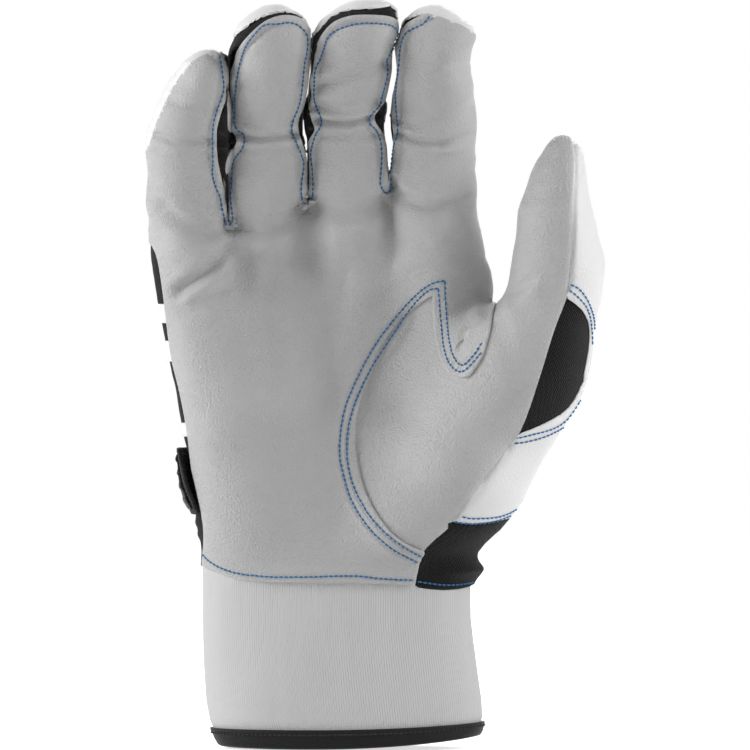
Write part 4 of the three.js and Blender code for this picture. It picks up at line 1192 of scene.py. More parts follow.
@dataclass(frozen=True)
class Thread:
    """Sewing thread: stitch length, gap and thickness, in millimetres."""

    pitch: float = 1.5
    gap: float = 0.12
    radius: float = 0.28
    around: int = 6
    along: int = 5

    def stitches(self, places: Array, normals: Array) -> Tuple[Array, Array]:
        """Lays stitches along a line on a panel.

        Args:
            places: Places along the line, close together.
            normals: Outward directions there.

        Returns:
            Points and four-sided faces of all the stitches.
        """
        along = lengths_along(places)
        count = max(int(along[-1] / self.pitch), 1)
        starts = np.arange(count) * along[-1] / count
        shares = np.linspace(0, 1, self.along)
        at = starts[:, None] + self.gap / 2 + shares * (along[-1] / count - self.gap)
        spots = np.stack([np.interp(at, along, places[:, i]) for i in range(3)], axis=2)
        ups = np.stack([np.interp(at, along, normals[:, i]) for i in range(3)], axis=2)
        ups /= np.linalg.norm(ups, axis=2, keepdims=True)
        runs = np.gradient(spots, axis=1)
        runs /= np.maximum(np.linalg.norm(runs, axis=2, keepdims=True), 1e-9)
        sides = np.cross(runs, ups)
        swell = np.sqrt(np.maximum(1 - (2 * shares - 1) ** 2, 0)) * 0.75 + 0.25
        rise = self.radius * (0.9 * np.sin(np.pi * shares) - 0.1)
        angles = np.arange(self.around) * 2 * np.pi / self.around
        ring = (
            sides[:, :, None] * np.cos(angles)[None, None, :, None]
            + ups[:, :, None] * np.sin(angles)[None, None, :, None]
        )
        points = (
            spots[:, :, None] + ring * (self.radius * swell)[None, :, None, None]
            + ups[:, :, None] * rise[None, :, None, None]
        )
        points = points.reshape(-1, 3)
        faces = []
        for step in range(self.along - 1):
            for turn in range(self.around):
                beside = (turn + 1) % self.around
                faces.append((
                    step * self.around + turn, (step + 1) * self.around + turn,
                    (step + 1) * self.around + beside, step * self.around + beside,
                ))
        size = self.along * self.around
        caps = [list(range(self.around)), list(range(size - 1, size - 1 - self.around, -1))]
        for cap in caps:
            faces.append((cap[0], cap[1], cap[2], cap[3]))
            faces.append((cap[0], cap[3], cap[4], cap[5]))
        block = np.array(faces)
        all_faces = (block[None] + (np.arange(count) * size)[:, None, None]).reshape(-1, 4)
        return points, all_faces


class Shader:
    """A short way to build a node tree: nodes with their values, and links between them."""

    def __init__(self, tree: bpy.types.NodeTree) -> None:
        """Takes over a tree and empties it."""
        self.tree = tree
        tree.nodes.clear()

    @classmethod
    def start(cls, name: str) -> Tuple[bpy.types.Material, "Shader"]:
        """A new material and the helper for its nodes."""
        material = bpy.data.materials.new(name)
        material.use_nodes = True
        return material, cls(material.node_tree)

    def fill(self, node: bpy.types.Node, inputs: Inputs) -> None:
        """Gives a node's inputs their values, or links sockets to them."""
        for key, value in inputs.items():
            if isinstance(value, bpy.types.NodeSocket):
                self.tree.links.new(value, node.inputs[key])
            else:
                node.inputs[key].default_value = value

    def add(self, kind: str, inputs: Optional[Inputs] = None, **settings: object) -> bpy.types.Node:
        """Adds a node.

        Args:
            kind: The node's type, without the leading "ShaderNode".
            inputs: Values or sockets for its inputs, by name or number.
            settings: Its own settings.

        Returns:
            The node.
        """
        node = self.tree.nodes.new("ShaderNode" + kind)
        for name, value in settings.items():
            setattr(node, name, value)
        self.fill(node, inputs or {})
        return node

    def surface(self, inputs: Inputs) -> None:
        """Ends a material in one Principled surface with these inputs."""
        principled = self.add("BsdfPrincipled", inputs)
        self.add("OutputMaterial", {"Surface": principled.outputs[0]})

    def seen(self) -> bpy.types.NodeSocket:
        """1 where the camera looks straight, by a reflection or through glass, and 0 for light."""
        path = self.add("LightPath")
        thrown = self.sums(
            "MAXIMUM", path.outputs["Is Glossy Ray"], path.outputs["Is Transmission Ray"],
        )
        return self.sums("MAXIMUM", path.outputs["Is Camera Ray"], thrown)

    def sums(self, operation: str, *values: Value, clamp: bool = False) -> bpy.types.NodeSocket:
        """A math node's result."""
        inputs = dict(enumerate(values))
        return self.add("Math", inputs, operation=operation, use_clamp=clamp).outputs[0]

    def ramp(self, value: bpy.types.NodeSocket, low: float, high: float) -> bpy.types.NodeSocket:
        """A smooth rise from 0 at low to 1 at high."""
        inputs = {"Value": value, "From Min": low, "From Max": high}
        return self.add("MapRange", inputs, interpolation_type="SMOOTHSTEP").outputs["Result"]

    def mix(self, share: Value, one: Value, other: Value) -> bpy.types.NodeSocket:
        """A mix of two colours.

        Args:
            share: Share of the second colour.
            one: The first colour.
            other: The second colour.

        Returns:
            The mixed colour.
        """
        node = self.add("Mix", data_type="RGBA")
        for key, value in (("Factor", share), ("A", one), ("B", other)):
            fitting = [s for s in node.inputs if s.name == key and s.enabled]
            if isinstance(value, bpy.types.NodeSocket):
                self.tree.links.new(value, fitting[0])
            else:
                fitting[0].default_value = value
        return [s for s in node.outputs if s.enabled][0]


class Effect(Enum):
    """Shared effects, each a node group that is built once."""

    GRAIN = "leather_grain"
    WEAVE = "cloth_weave"
    # edge wear, and painted shade in hollows
    WEAR = "edge_wear"


class Effects:
    """Builds the shared node groups and places them in materials."""

    def __init__(self) -> None:
        """Builds every group."""
        self.groups = {
            Effect.GRAIN: self.grain(), Effect.WEAVE: self.weave(), Effect.WEAR: self.wear(),
        }

    @staticmethod
    def group(effect: Effect, takes: Dict[str, Value], gives: Sequence[str],
              ) -> Tuple[Shader, bpy.types.Node, bpy.types.Node]:
        """A new group with named inputs and outputs, and its shader helper.

        Args:
            effect: The effect that the group gives.
            takes: Value of each input beside the vector.
            gives: Names of the outputs.

        Returns:
            The group's helper, its input node and its output node.
        """
        tree = bpy.data.node_groups.new(effect.value, "ShaderNodeTree")
        tree.interface.new_socket("Vector", in_out="INPUT", socket_type="NodeSocketVector")
        for key, value in takes.items():
            kind = "NodeSocketFloat" if isinstance(value, float) else "NodeSocketVector"
            socket = tree.interface.new_socket(key, in_out="INPUT", socket_type=kind)
            socket.default_value = value
        for key in gives:
            tree.interface.new_socket(key, in_out="OUTPUT", socket_type="NodeSocketFloat")
        shader = Shader(tree)
        return shader, tree.nodes.new("NodeGroupInput"), tree.nodes.new("NodeGroupOutput")

    def grain(self) -> bpy.types.NodeTree:
        """Leather grain: fine pebbles, short wrinkles and slow tone changes.

        Returns:
            The group.
        """
        shader, given, result = self.group(
            Effect.GRAIN, {"Pebble": 1400.0, "Wrinkle": 260.0, "Wrinkle Share": 0.5},
            ("Height", "Tone"),
        )
        at = given.outputs["Vector"]
        warp = shader.add("TexNoise", {"Vector": at, "Scale": 300.0, "Detail": 2.0})
        bent = shader.add("VectorMath", {0: warp.outputs["Color"], 1: (0.0008,) * 3},
                          operation="MULTIPLY").outputs[0]
        moved = shader.add("VectorMath", {0: at, 1: bent}, operation="ADD").outputs[0]
        pebble = shader.add("TexVoronoi", {"Vector": moved, "Scale": given.outputs["Pebble"]},
                            feature="SMOOTH_F1")
        cells = shader.ramp(pebble.outputs["Distance"], 0.75, 0.15)
        squeeze = shader.add("Mapping", {"Vector": moved, "Scale": (0.85, 0.85, 1.4)})
        lines = shader.add("TexNoise", {
            "Vector": squeeze.outputs[0], "Scale": given.outputs["Wrinkle"], "Detail": 2.0,
            "Roughness": 0.5, "Distortion": 0.3,
        })
        ridge = shader.sums("ABSOLUTE", shader.sums("SUBTRACT", lines.outputs["Fac"], 0.5))
        wrinkles = shader.ramp(ridge, 0.0, 0.28)
        patches = shader.add("TexNoise", {"Vector": at, "Scale": 45.0, "Detail": 3.0})
        where = shader.ramp(patches.outputs["Fac"], 0.1, 0.55)
        share = shader.sums("MULTIPLY", given.outputs["Wrinkle Share"], where)
        deep = shader.sums("MULTIPLY", shader.sums("SUBTRACT", 1.0, wrinkles), share)
        height = shader.sums("SUBTRACT", shader.sums("MULTIPLY", cells, 0.5), deep)
        tone = shader.sums("MULTIPLY_ADD", deep, 0.2,
                           shader.sums("MULTIPLY", patches.outputs["Fac"], 0.35))
        shader.fill(result, {"Height": height, "Tone": tone})
        return shader.tree

    def weave(self) -> bpy.types.NodeTree:
        """Cloth: loops in rows, from two crossed waves, with loose fibres.

        Returns:
            The group.
        """
        shader, given, result = self.group(
            Effect.WEAVE, {"Pitch": (1.0, 1.0, 1.0), "Fibre": 3000.0}, ("Height", "Tone"),
        )
        at = shader.add("VectorMath", {0: given.outputs["Vector"], 1: given.outputs["Pitch"]},
                        operation="MULTIPLY").outputs[0]
        parts = shader.add("SeparateXYZ", {0: at})
        waves = []
        for axis in range(3):
            turn = shader.sums("MULTIPLY", parts.outputs[axis], 2 * math.pi)
            waves.append(shader.sums("SINE", turn))
        loops = shader.sums("ADD", shader.sums("MULTIPLY", waves[0], waves[2]),
                            shader.sums("MULTIPLY", waves[1], waves[2]))
        fibre = shader.add("TexNoise", {
            "Vector": given.outputs["Vector"], "Scale": given.outputs["Fibre"], "Detail": 2.0,
        })
        height = shader.sums("MULTIPLY_ADD", fibre.outputs["Fac"], 0.5,
                             shader.sums("MULTIPLY", loops, 0.4))
        shader.fill(result, {"Height": height, "Tone": shader.ramp(height, -0.3, 0.9)})
        return shader.tree

    def wear(self) -> bpy.types.NodeTree:
        """Rubbed edges, and painted shade that darkens the hollows, from how sharply the surface
        bends.

        Returns:
            The group.
        """
        shader, given, result = self.group(Effect.WEAR, {"Amount": 0.5}, ("Rubbed", "Hollow Shade"))
        bend = shader.add("NewGeometry").outputs["Pointiness"]
        noise = shader.add("TexNoise", {
            "Vector": given.outputs["Vector"], "Scale": 180.0, "Detail": 4.0,
        }).outputs["Fac"]
        loose = shader.sums("MULTIPLY_ADD", noise, 0.03, bend)
        rubbed = shader.ramp(loose, 0.53, 0.6)
        # painted shade: darker where the surface curves inward, in hollows and creases
        painted_hollow_shade = shader.ramp(loose, 0.505, 0.46)
        for key, value in (("Rubbed", rubbed), ("Hollow Shade", painted_hollow_shade)):
            share = shader.sums("MULTIPLY", value, given.outputs["Amount"])
            shader.fill(result, {key: share})
        return shader.tree

    def place(self, shader: Shader, effect: Effect, inputs: Inputs) -> bpy.types.Node:
        """Puts a group into a material with its own values."""
        return shader.add("Group", inputs, node_tree=self.groups[effect])


def tint(colour: Sequence[float], factor: float) -> Tuple[float, float, float, float]:
    """A colour made lighter or darker."""
    return tuple(min(part * factor, 1.0) for part in colour[:3]) + (1.0,)


@dataclass(frozen=True)
class Leather:
    """Dressed leather: its colour, gloss, and the size and depth of its grain."""

    name: str
    colour: Tuple[float, float, float]
    roughness: float = 0.52
    pebble: float = 1900.0
    wrinkle: float = 1250.0
    wrinkle_share: float = 0.5
    depth: float = 0.0003
    # amount of edge wear and of painted shade in hollows
    wear: float = 0.5
    # colour of the painted shade in hollows
    hollow_shade_colour: Tuple[float, float, float] = (0.33, 0.32, 0.31)

    def build(self, effects: Effects) -> bpy.types.Material:
        """Builds the material.

        Args:
            effects: The shared node groups.

        Returns:
            The material.
        """
        material, shader = Shader.start(self.name)
        at = shader.add("TexCoord").outputs["Object"]
        grain = effects.place(shader, Effect.GRAIN, {
            "Vector": at, "Pebble": self.pebble, "Wrinkle": self.wrinkle,
            "Wrinkle Share": self.wrinkle_share,
        })
        wear = effects.place(shader, Effect.WEAR, {"Vector": at, "Amount": self.wear})
        toned = shader.mix(grain.outputs["Tone"], tint(self.colour, 1.06), tint(self.colour, 0.84))
        rubbed = shader.mix(wear.outputs["Rubbed"], toned, tint(self.colour, 1.22))
        # painted shade: hollows mixed towards a darker grey
        painted_hollow_shade = shader.mix(
            shader.sums("MULTIPLY", wear.outputs["Hollow Shade"], 0.6), rubbed, self.hollow_shade_colour + (1.0,),
        )
        rough = shader.sums("MULTIPLY_ADD", grain.outputs["Tone"], 0.22, self.roughness - 0.06)
        bump = shader.add("Bump", {
            "Height": grain.outputs["Height"], "Strength": 0.9, "Distance": self.depth,
        })
        shader.surface({
            "Base Color": painted_hollow_shade, "Roughness": rough, "Normal": bump.outputs[0],
            "Sheen Weight": 0.3, "Sheen Roughness": 0.35, "IOR": 1.45,
        })
        return material


@dataclass(frozen=True)
class Cloth:
    """Knitted or woven cloth: colour, loops a metre each way, and how deep they are."""

    name: str
    colour: Tuple[float, float, float]
    pitch: Tuple[float, float, float] = (900.0, 900.0, 900.0)
    depth: float = 0.00025
    roughness: float = 0.85
    sheen: float = 0.25
    contrast: float = 0.35
    by_surface: bool = False
    wear: float = 0.3

    def build(self, effects: Effects) -> bpy.types.Material:
        """Builds the material.

        Args:
            effects: The shared node groups.

        Returns:
            The material.
        """
        material, shader = Shader.start(self.name)
        spots = shader.add("TexCoord")
        at = spots.outputs["UV" if self.by_surface else "Object"]
        weave = effects.place(shader, Effect.WEAVE, {"Vector": at, "Pitch": self.pitch})
        wear = effects.place(shader, Effect.WEAR, {
            "Vector": spots.outputs["Object"], "Amount": self.wear,
        })
        toned = shader.mix(
            weave.outputs["Tone"], tint(self.colour, 1 - self.contrast),
            tint(self.colour, 1 + self.contrast),
        )
        rubbed = shader.mix(wear.outputs["Rubbed"], toned, tint(self.colour, 1.5))
        rough = shader.sums("MULTIPLY_ADD", weave.outputs["Tone"], 0.1, self.roughness - 0.05)
        bump = shader.add("Bump", {
            "Height": weave.outputs["Height"], "Strength": 0.9, "Distance": self.depth,
        })
        shader.surface({
            "Base Color": rubbed, "Roughness": rough, "Normal": bump.outputs[0],
            "Sheen Weight": self.sheen, "Sheen Roughness": 0.6, "Specular IOR Level": 0.12,
        })
        return material


@dataclass(frozen=True)
class Ribbing:
    """Fine ribbed knit that runs up the cuff, by its surface measures in metres."""

    name: str
    colour: Tuple[float, float, float]
    rib: float = 0.0007
    row: float = 0.0006
    depth: float = 0.00013

    def build(self, effects: Effects) -> bpy.types.Material:
        """Builds the material.

        Args:
            effects: The shared node groups.

        Returns:
            The material.
        """
        material, shader = Shader.start(self.name)
        spots = shader.add("TexCoord")
        parts = shader.add("SeparateXYZ", {0: spots.outputs["UV"]})
        turn = shader.sums("MULTIPLY", parts.outputs[0], 2 * math.pi / self.rib)
        rib = shader.sums("MULTIPLY_ADD", shader.sums("SINE", turn), 0.5, 0.5)
        climb = shader.sums("MULTIPLY", parts.outputs[1], 2 * math.pi / self.row)
        slant = shader.sums("MULTIPLY_ADD", shader.sums("ABSOLUTE", shader.sums("SINE", turn)),
                            1.6, climb)
        loops = shader.sums("MULTIPLY_ADD", shader.sums("SINE", slant), 0.5, 0.5)
        long = shader.add("Mapping", {"Vector": spots.outputs["Object"], "Scale": (1.0, 1.0, 0.12)})
        streaks = shader.add("TexNoise", {"Vector": long.outputs[0], "Scale": 220.0, "Detail": 3.0})
        soft = shader.add("TexNoise", {
            "Vector": spots.outputs["Object"], "Scale": 1500.0, "Detail": 3.0,
        })
        height = shader.sums("MULTIPLY_ADD", loops, 0.3, rib)
        fuzzy = shader.sums("MULTIPLY_ADD", soft.outputs["Fac"], 0.5, height)
        wear = effects.place(shader, Effect.WEAR, {
            "Vector": spots.outputs["Object"], "Amount": 0.25,
        })
        tone = shader.sums("MULTIPLY_ADD", streaks.outputs["Fac"], 0.55,
                           shader.sums("MULTIPLY", rib, 0.2), clamp=True)
        toned = shader.mix(tone, tint(self.colour, 0.9), tint(self.colour, 1.08))
        # painted shade: hollows mixed towards a darker copy of the knit's colour
        painted_hollow_shade = shader.mix(wear.outputs["Hollow Shade"], toned, tint(self.colour, 0.7))
        bump = shader.add("Bump", {"Height": fuzzy, "Strength": 0.8, "Distance": self.depth})
        shader.surface({
            "Base Color": painted_hollow_shade,
            "Roughness": shader.sums("MULTIPLY_ADD", streaks.outputs["Fac"], 0.15, 0.78),
            "Normal": bump.outputs[0], "Sheen Weight": 0.35, "Sheen Roughness": 0.5,
            "Specular IOR Level": 0.3,
        })
        return material


class Look(Enum):
    """The glove's finishes, each with the record's slot that it belongs to."""

    PALM = "palm_leather"
    BACK = "back_leather"
    GUSSET = "gusset_mesh"
    STRETCH = "stretch_fabric"
    STRAP = "strap_webbing"
    TAPE = "hook_and_loop"
    ELASTIC = "elastic"
    KNIT = "knit"
    BINDING = "binding"


BLACK = (0.004, 0.004, 0.0042)
FINISHES = {
    Look.PALM: Leather("palm_leather", (0.4, 0.4, 0.4)),
    Look.BACK: Leather(
        "back_leather", (0.67, 0.67, 0.67), roughness=0.5, wrinkle_share=0.15, depth=0.00014,
        wear=0.2, hollow_shade_colour=(0.6, 0.6, 0.6),
    ),
    Look.GUSSET: Cloth("gusset_mesh", BLACK, pitch=(1100.0, 1100.0, 1500.0), sheen=0.08),
    Look.STRETCH: Cloth("stretch_fabric", BLACK, pitch=(1500.0, 1500.0, 700.0), sheen=0.07),
    Look.STRAP: Cloth("strap_webbing", BLACK, pitch=(500.0, 500.0, 900.0), sheen=0.12),
    Look.TAPE: Cloth(
        "hook_and_loop", (0.02, 0.02, 0.022), pitch=(700.0, 700.0, 700.0), depth=0.0006,
        sheen=0.6,
    ),
    Look.ELASTIC: Cloth("elastic", (0.5, 0.5, 0.5), pitch=(300.0, 300.0, 1200.0)),
    Look.KNIT: Ribbing("knit", (0.54, 0.54, 0.54)),
    Look.BINDING: Cloth(
        "binding", (0.005, 0.005, 0.0052), pitch=(1400.0, 1400.0, 1400.0), roughness=0.5,
        depth=0.0001, sheen=0.05,
    ),
}
THREADS = {
    "blue_thread": (0.035, 0.15, 0.34),
    "white_thread": (0.75, 0.75, 0.76),
    "black_thread": (0.010, 0.010, 0.011),
}


class Workshop:
    """Turns sheets and threads into pieces that ride on the frame's bodies."""

    def __init__(self, glove: Glove) -> None:
        """Builds the finishes.

        Args:
            glove: The form that the pieces are cut from.
        """
        self.glove = glove
        self.effects = Effects()
        self.materials = {look: finish.build(self.effects) for look, finish in FINISHES.items()}
        self.threads = {
            name: Cloth(name, colour, pitch=(2500.0,) * 3, depth=0.00005, roughness=0.55,
                        sheen=0.1, contrast=0.25, wear=0.0).build(self.effects)
            for name, colour in THREADS.items()
        }
        self.bend_reach = 8.0
        self.crease_depth = 1.6

    def piece(self, name: str, points: Array, faces: Array, material: bpy.types.Material,
              slot: str, sharp: float = 55.0) -> bpy.types.Object:
        """Makes a mesh object.

        Args:
            name: The piece's name.
            points: Places of the form, in millimetres.
            faces: Corners of its faces.
            material: Its material.
            slot: The record's material slot; not used.
            sharp: Angle in degrees above which an edge is sharp.

        Returns:
            The object.
        """
        mesh = bpy.data.meshes.new(name)
        sides = faces.shape[1]
        mesh.vertices.add(len(points))
        mesh.vertices.foreach_set("co", self.glove.place(points).astype(np.float32).ravel())
        mesh.loops.add(faces.size)
        mesh.loops.foreach_set("vertex_index", faces.astype(np.int32).ravel())
        mesh.polygons.add(len(faces))
        starts = np.arange(len(faces), dtype=np.int32) * sides
        mesh.polygons.foreach_set("loop_start", starts)
        mesh.update(calc_edges=True)
        mesh.validate()
        mesh.shade_smooth()
        mesh.set_sharp_from_angle(angle=math.radians(sharp))
        mesh.materials.append(material)
        obj = bpy.data.objects.new(name, mesh)
        bpy.context.scene.collection.objects.link(obj)
        LOG.info("%s: %d points, %d faces", name, len(points), len(faces))
        return obj

    def panel(self, name: str, sheet: Sheet, look: Look, thickness: float, lined: bool = False,
              ) -> bpy.types.Object:
        """Makes a panel with its thickness."""
        solid = sheet.thick(thickness, lined)
        return self.piece(name, solid.at, solid.faces, self.materials[look], look.value)

    def fixed(self, name: str, sheet: Sheet, look: Look, thickness: float, node: str,
              body: str = "root", lined: bool = False) -> None:
        """Makes a panel that rides on one body in a node's place.

        Args:
            name: The piece's name.
            sheet: Its outer side.
            look: Its finish.
            thickness: Its thickness in millimetres.
            node: The frame's node that it replaces.
            body: The body that carries it.
            lined: Whether its inside is closed as well.
        """
        piece = self.panel(name, sheet, look, thickness, lined)
        self.fix(piece, body)
        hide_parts(node)

    def bent(self, name: str, sheet: Sheet, look: Look, thickness: float, digit: Digit,
             *nodes: str) -> None:
        """Makes a panel for a digit in the place of one or more nodes."""
        piece = self.panel(name, sheet, look, thickness)
        self.bend(piece, digit)
        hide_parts(*nodes)

    def stitching(self, name: str, lines: Sequence[Tuple[Array, Array]], colour: str, slot: Look,
                  thread: Thread = Thread()) -> Optional[bpy.types.Object]:
        """Makes one piece of all the stitches along some lines.

        Args:
            name: The piece's name.
            lines: Places and outward directions along each line.
            colour: Name of the thread.
            slot: The finish of the panel that it is sewn on.
            thread: Its stitches.

        Returns:
            The piece, or None where no line lies on its panel.
        """
        points, faces, count = [], [], 0
        for places, normals in lines:
            if len(places) < 3:
                continue
            more, quads = thread.stitches(places, normals)
            points.append(more)
            faces.append(quads + count)
            count += len(more)
        if not points:
            LOG.warning("%s: no line hit its panel", name)
            return None
        return self.piece(name, np.concatenate(points), np.concatenate(faces),
                          self.threads[colour], slot.value, sharp=80.0)

    def crease(self, digit: Digit) -> Tuple[Array, Array]:
        """The place where a digit bends and the direction along it.

        Args:
            digit: The digit.

        Returns:
            The place and the direction, in the form's own frame.
        """
        joints = self.glove.form.digits[digit.value]
        index = 1 if digit is Digit.THUMB else 2
        before, after = joints[index - 1], joints[index + 1]
        lean = math.atan2(after.forward - before.forward, after.height - before.height)
        turn = math.radians(25.0) if digit is Digit.THUMB else 0.0
        ahead = np.array((-math.sin(turn), -math.cos(turn), 0))
        up = np.array((0, 0, 1.0))
        reach = joints[index].radius - self.crease_depth
        at = joints[index].place + ahead * reach * math.cos(lean) - up * reach * math.sin(lean)
        return at, ahead * math.sin(lean) + up * math.cos(lean)

    def bend(self, obj: Optional[bpy.types.Object], digit: Digit) -> None:
        """Works out where a piece's digit creases and bakes the piece's transform; the piece is not
        made to bend.
        """
        if obj is None:
            return
        at, along = self.crease(digit)
        start = self.glove.place(at - along * self.bend_reach)
        end = self.glove.place(at + along * self.bend_reach)
        digit.word
        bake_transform(obj)

    @staticmethod
    def fix(obj: Optional[bpy.types.Object], body: str = "root") -> None:
        """Lets a piece ride on one body."""
        if obj is not None:
            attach(obj, body)


class Areas:
    """Cutting values of the net: how far each point lies inside each area, in millimetres."""

    def __init__(self, glove: Glove) -> None:
        """Works out the values.

        Args:
            glove: The form that the areas lie on.
        """
        sheet = glove.base
        pattern = glove.pattern
        self.glove = glove
        self.side = sheet.at[:, 0]
        self.back = sheet.at[:, 1]
        self.height = sheet.at[:, 2]
        reach = glove.reach(sheet)
        ahead = glove.ahead(sheet)
        self.reach = reach
        self.leather = glove.leather(sheet, reach)
        limit = glove.leather_wrap + 9.0 * (1 - smoothstep(self.side, 30.0, 48.0))
        self.front = least(glove.inside(sheet, glove.thumb_outline), ahead + limit)
        behind = -(reach + glove.leather_wrap)
        self.white = np.maximum(behind, -glove.inside(sheet, pattern.in_front()))
        self.thumb = glove.inside(sheet, pattern.thumb_side)
        self.lower = glove.inside(sheet, pattern.thumb_lower)
        self.wrist = glove.inside(sheet, pattern.wrist_gusset)
        self.knee = least(glove.inside(sheet, curve(pattern.knee)), ahead - 1.0)

    def knuckles(self, height: float) -> Array:
        """Height of the seam across the knuckles; it rises at the little finger's edge."""
        return height + 7.5 * (1 - smoothstep(self.side, -48.0, -20.0))

    def take(self, *values: Array) -> Sheet:
        """The part of the net that lies inside all the areas."""
        return self.glove.base.cut(least(*values))

    def between_slits(self, place: int) -> Array:
        """How far points lie between the slits at both sides of a finger."""
        form = self.glove.form
        side, height = self.glove.plain.at[:, 0], self.glove.plain.at[:, 2]
        result = np.full(len(side), 99.0)
        if place > 0:
            result = np.minimum(result, side - form.slit_side(place - 1, height))
        if place < 3:
            result = np.minimum(result, form.slit_side(place, height) - side)
        return result


TUCK = 1.2


@dataclass(frozen=True)
class PalmLeather:
    """The palm's cut piece with the fronts of the four fingers, and its seams."""

    thickness: float = 1.1
    level: float = 0.25
    flange_reach: float = 2.3
    flange_rise: float = 1.0
    overlap_rise: float = 0.75
    base_line: Pixels = (
        (100, 236), (148, 235), (229.2, 225), (306.8, 203), (388.2, 193), (477, 212), (520, 214),
    )
    finger_seams: Tuple[Tuple[Digit, Pixels], ...] = (
        (Digit.LITTLE, ((219, 55), (222, 70), (223.5, 90), (218, 108), (214, 122), (212.5, 138),
                        (213, 161), (212.5, 176), (216, 188), (220, 197), (223, 213),
                        (225, 222), (227, 226))),
        (Digit.RING, ((228.4, 226), (232.6, 222), (230.6, 199), (231.6, 184), (232.6, 167),
                      (235.4, 157), (241, 151), (244, 142), (243, 134), (238, 130),
                      (234.5, 123), (235, 107), (236.4, 86), (240, 63), (246, 46),
                      (255.6, 33), (265, 25), (277, 24), (292, 23), (301.5, 28), (307, 36),
                      (307, 50), (304.4, 63), (302.5, 84), (299.6, 103), (293, 121),
                      (292, 132), (297, 144), (303.4, 163), (301.5, 184), (301.5, 199),
                      (304, 203.2), (306, 204))),
        (Digit.MIDDLE, ((307, 204), (310.7, 202), (313, 192), (312.6, 172), (311, 153),
                        (315, 136), (320.7, 126), (321, 117), (315, 103), (314, 84),
                        (316, 69), (322.6, 54), (327.4, 38), (336, 31), (353, 25),
                        (372, 23.4), (391.6, 26), (398, 34.5), (395.4, 44), (389, 55),
                        (386.8, 61), (387.5, 67), (386.8, 77), (383, 92), (379, 107),
                        (372.4, 113), (369.5, 123), (376, 130), (381, 144), (381.6, 163),
                        (380, 184), (384, 192), (386.6, 193))),
        (Digit.INDEX, ((387.6, 193), (389.4, 190), (391, 172), (394, 146), (397.7, 132),
                       (396, 107), (396.2, 88), (398.3, 69), (400.6, 48), (405, 34.5),
                       (412.6, 29), (422, 25), (430, 16))),
    )
    overlap_seams: Tuple[Pixels, ...] = (
        ((445, 280.6), (428, 285.7), (403.7, 308), (374.6, 346), (354.6, 384), (343.4, 415),
         (339.4, 451), (343.4, 475), (352.3, 502), (370, 529), (392.5, 549), (418, 562.5)),
        ((438.3, 288), (426, 292.4), (406, 314.7), (379, 355), (359, 393), (349, 424),
         (346.7, 451), (350, 475), (359, 498), (374.6, 522), (397, 542.4), (421.5, 557)),
        ((445, 280.6), (445, 294.6), (447.2, 323.7), (450.5, 346), (455, 359.4),
         (462.8, 365.4), (472.9, 356), (482.5, 342.6)),
        ((438.3, 288), (441, 321.4), (443.8, 346), (448.3, 361.6), (456, 370.5), (464, 371.2),
         (472.9, 362.7), (482.5, 351.6)),
    )
    wrist_seam: Pixels = (
        (201, 552), (208, 560), (221, 568), (241, 574), (274, 577), (313, 577), (353, 576),
        (384, 579), (413, 580.5),
    )

    def lift(self, glove: Glove) -> Array:
        """How far each point of the net is moved for the leather's edges and seams.

        Args:
            glove: The form that the leather lies on.

        Returns:
            A shift for each point.
        """
        base, pattern = glove.base, glove.pattern
        facing = smoothstep(-base.normal[:, 1], -0.2, 0.35)
        flange = glove.beside(base, *pattern.flanges())
        over = glove.beside(base, pattern.tongue_edge, pattern.arc_edge, pattern.web_side[4:])
        seams = glove.beside(base, *self.overlap_seams)
        wrist = glove.beside(base, pattern.wrist_edge)
        row = glove.beside(base, self.wrist_seam)
        outward = self.level + self.overlap_rise * (1 - smoothstep(over, 2.5, 9.0))
        outward -= 0.24 * bell(seams, 0.55) - 0.14 * bell(seams - 1.1, 0.7)
        outward += 0.5 * (1 - smoothstep(wrist, 1.0, 6.0))
        outward -= 0.22 * bell(row, 0.5)
        outward -= 0.34 * bell(flange - self.flange_reach, 0.6) * facing
        outward += 0.22 * bell(flange - 4.4, 1.8) * facing
        shift = base.normal * outward[:, None]
        rise = self.flange_rise * (1 - smoothstep(flange, 0.2, self.flange_reach)) * facing
        shift[:, 1] -= rise
        return shift

    def build(self, shop: Workshop, areas: Areas) -> None:
        """Builds the palm, the finger fronts and their stitches.

        Args:
            shop: Makes the pieces.
            areas: The net's cutting values.
        """
        glove = shop.glove
        raised = glove.base.moved(self.lift(glove))
        sheet = raised.cut(areas.leather)
        tree = Tree(sheet, glove.lens)
        above = glove.above(raised, self.base_line)
        palm = raised.cut(least(areas.leather, -above))
        shop.fixed("palm_leather", palm, Look.PALM, self.thickness, "palm")
        for place, digit in enumerate(FINGERS):
            part = raised.cut(least(areas.leather, above, areas.between_slits(place)))
            name = digit.word + "_front"
            shop.bent(name + "_leather", part, Look.PALM, self.thickness, digit, name)
        for digit, seam in self.finger_seams:
            rows = tree.rows([seam])
            shop.bend(shop.stitching(digit.word + "_seam", rows, "blue_thread", Look.PALM), digit)
        rows = tree.rows(self.overlap_seams + (self.wrist_seam,))
        shop.fix(shop.stitching("palm_seams", rows, "blue_thread", Look.PALM))


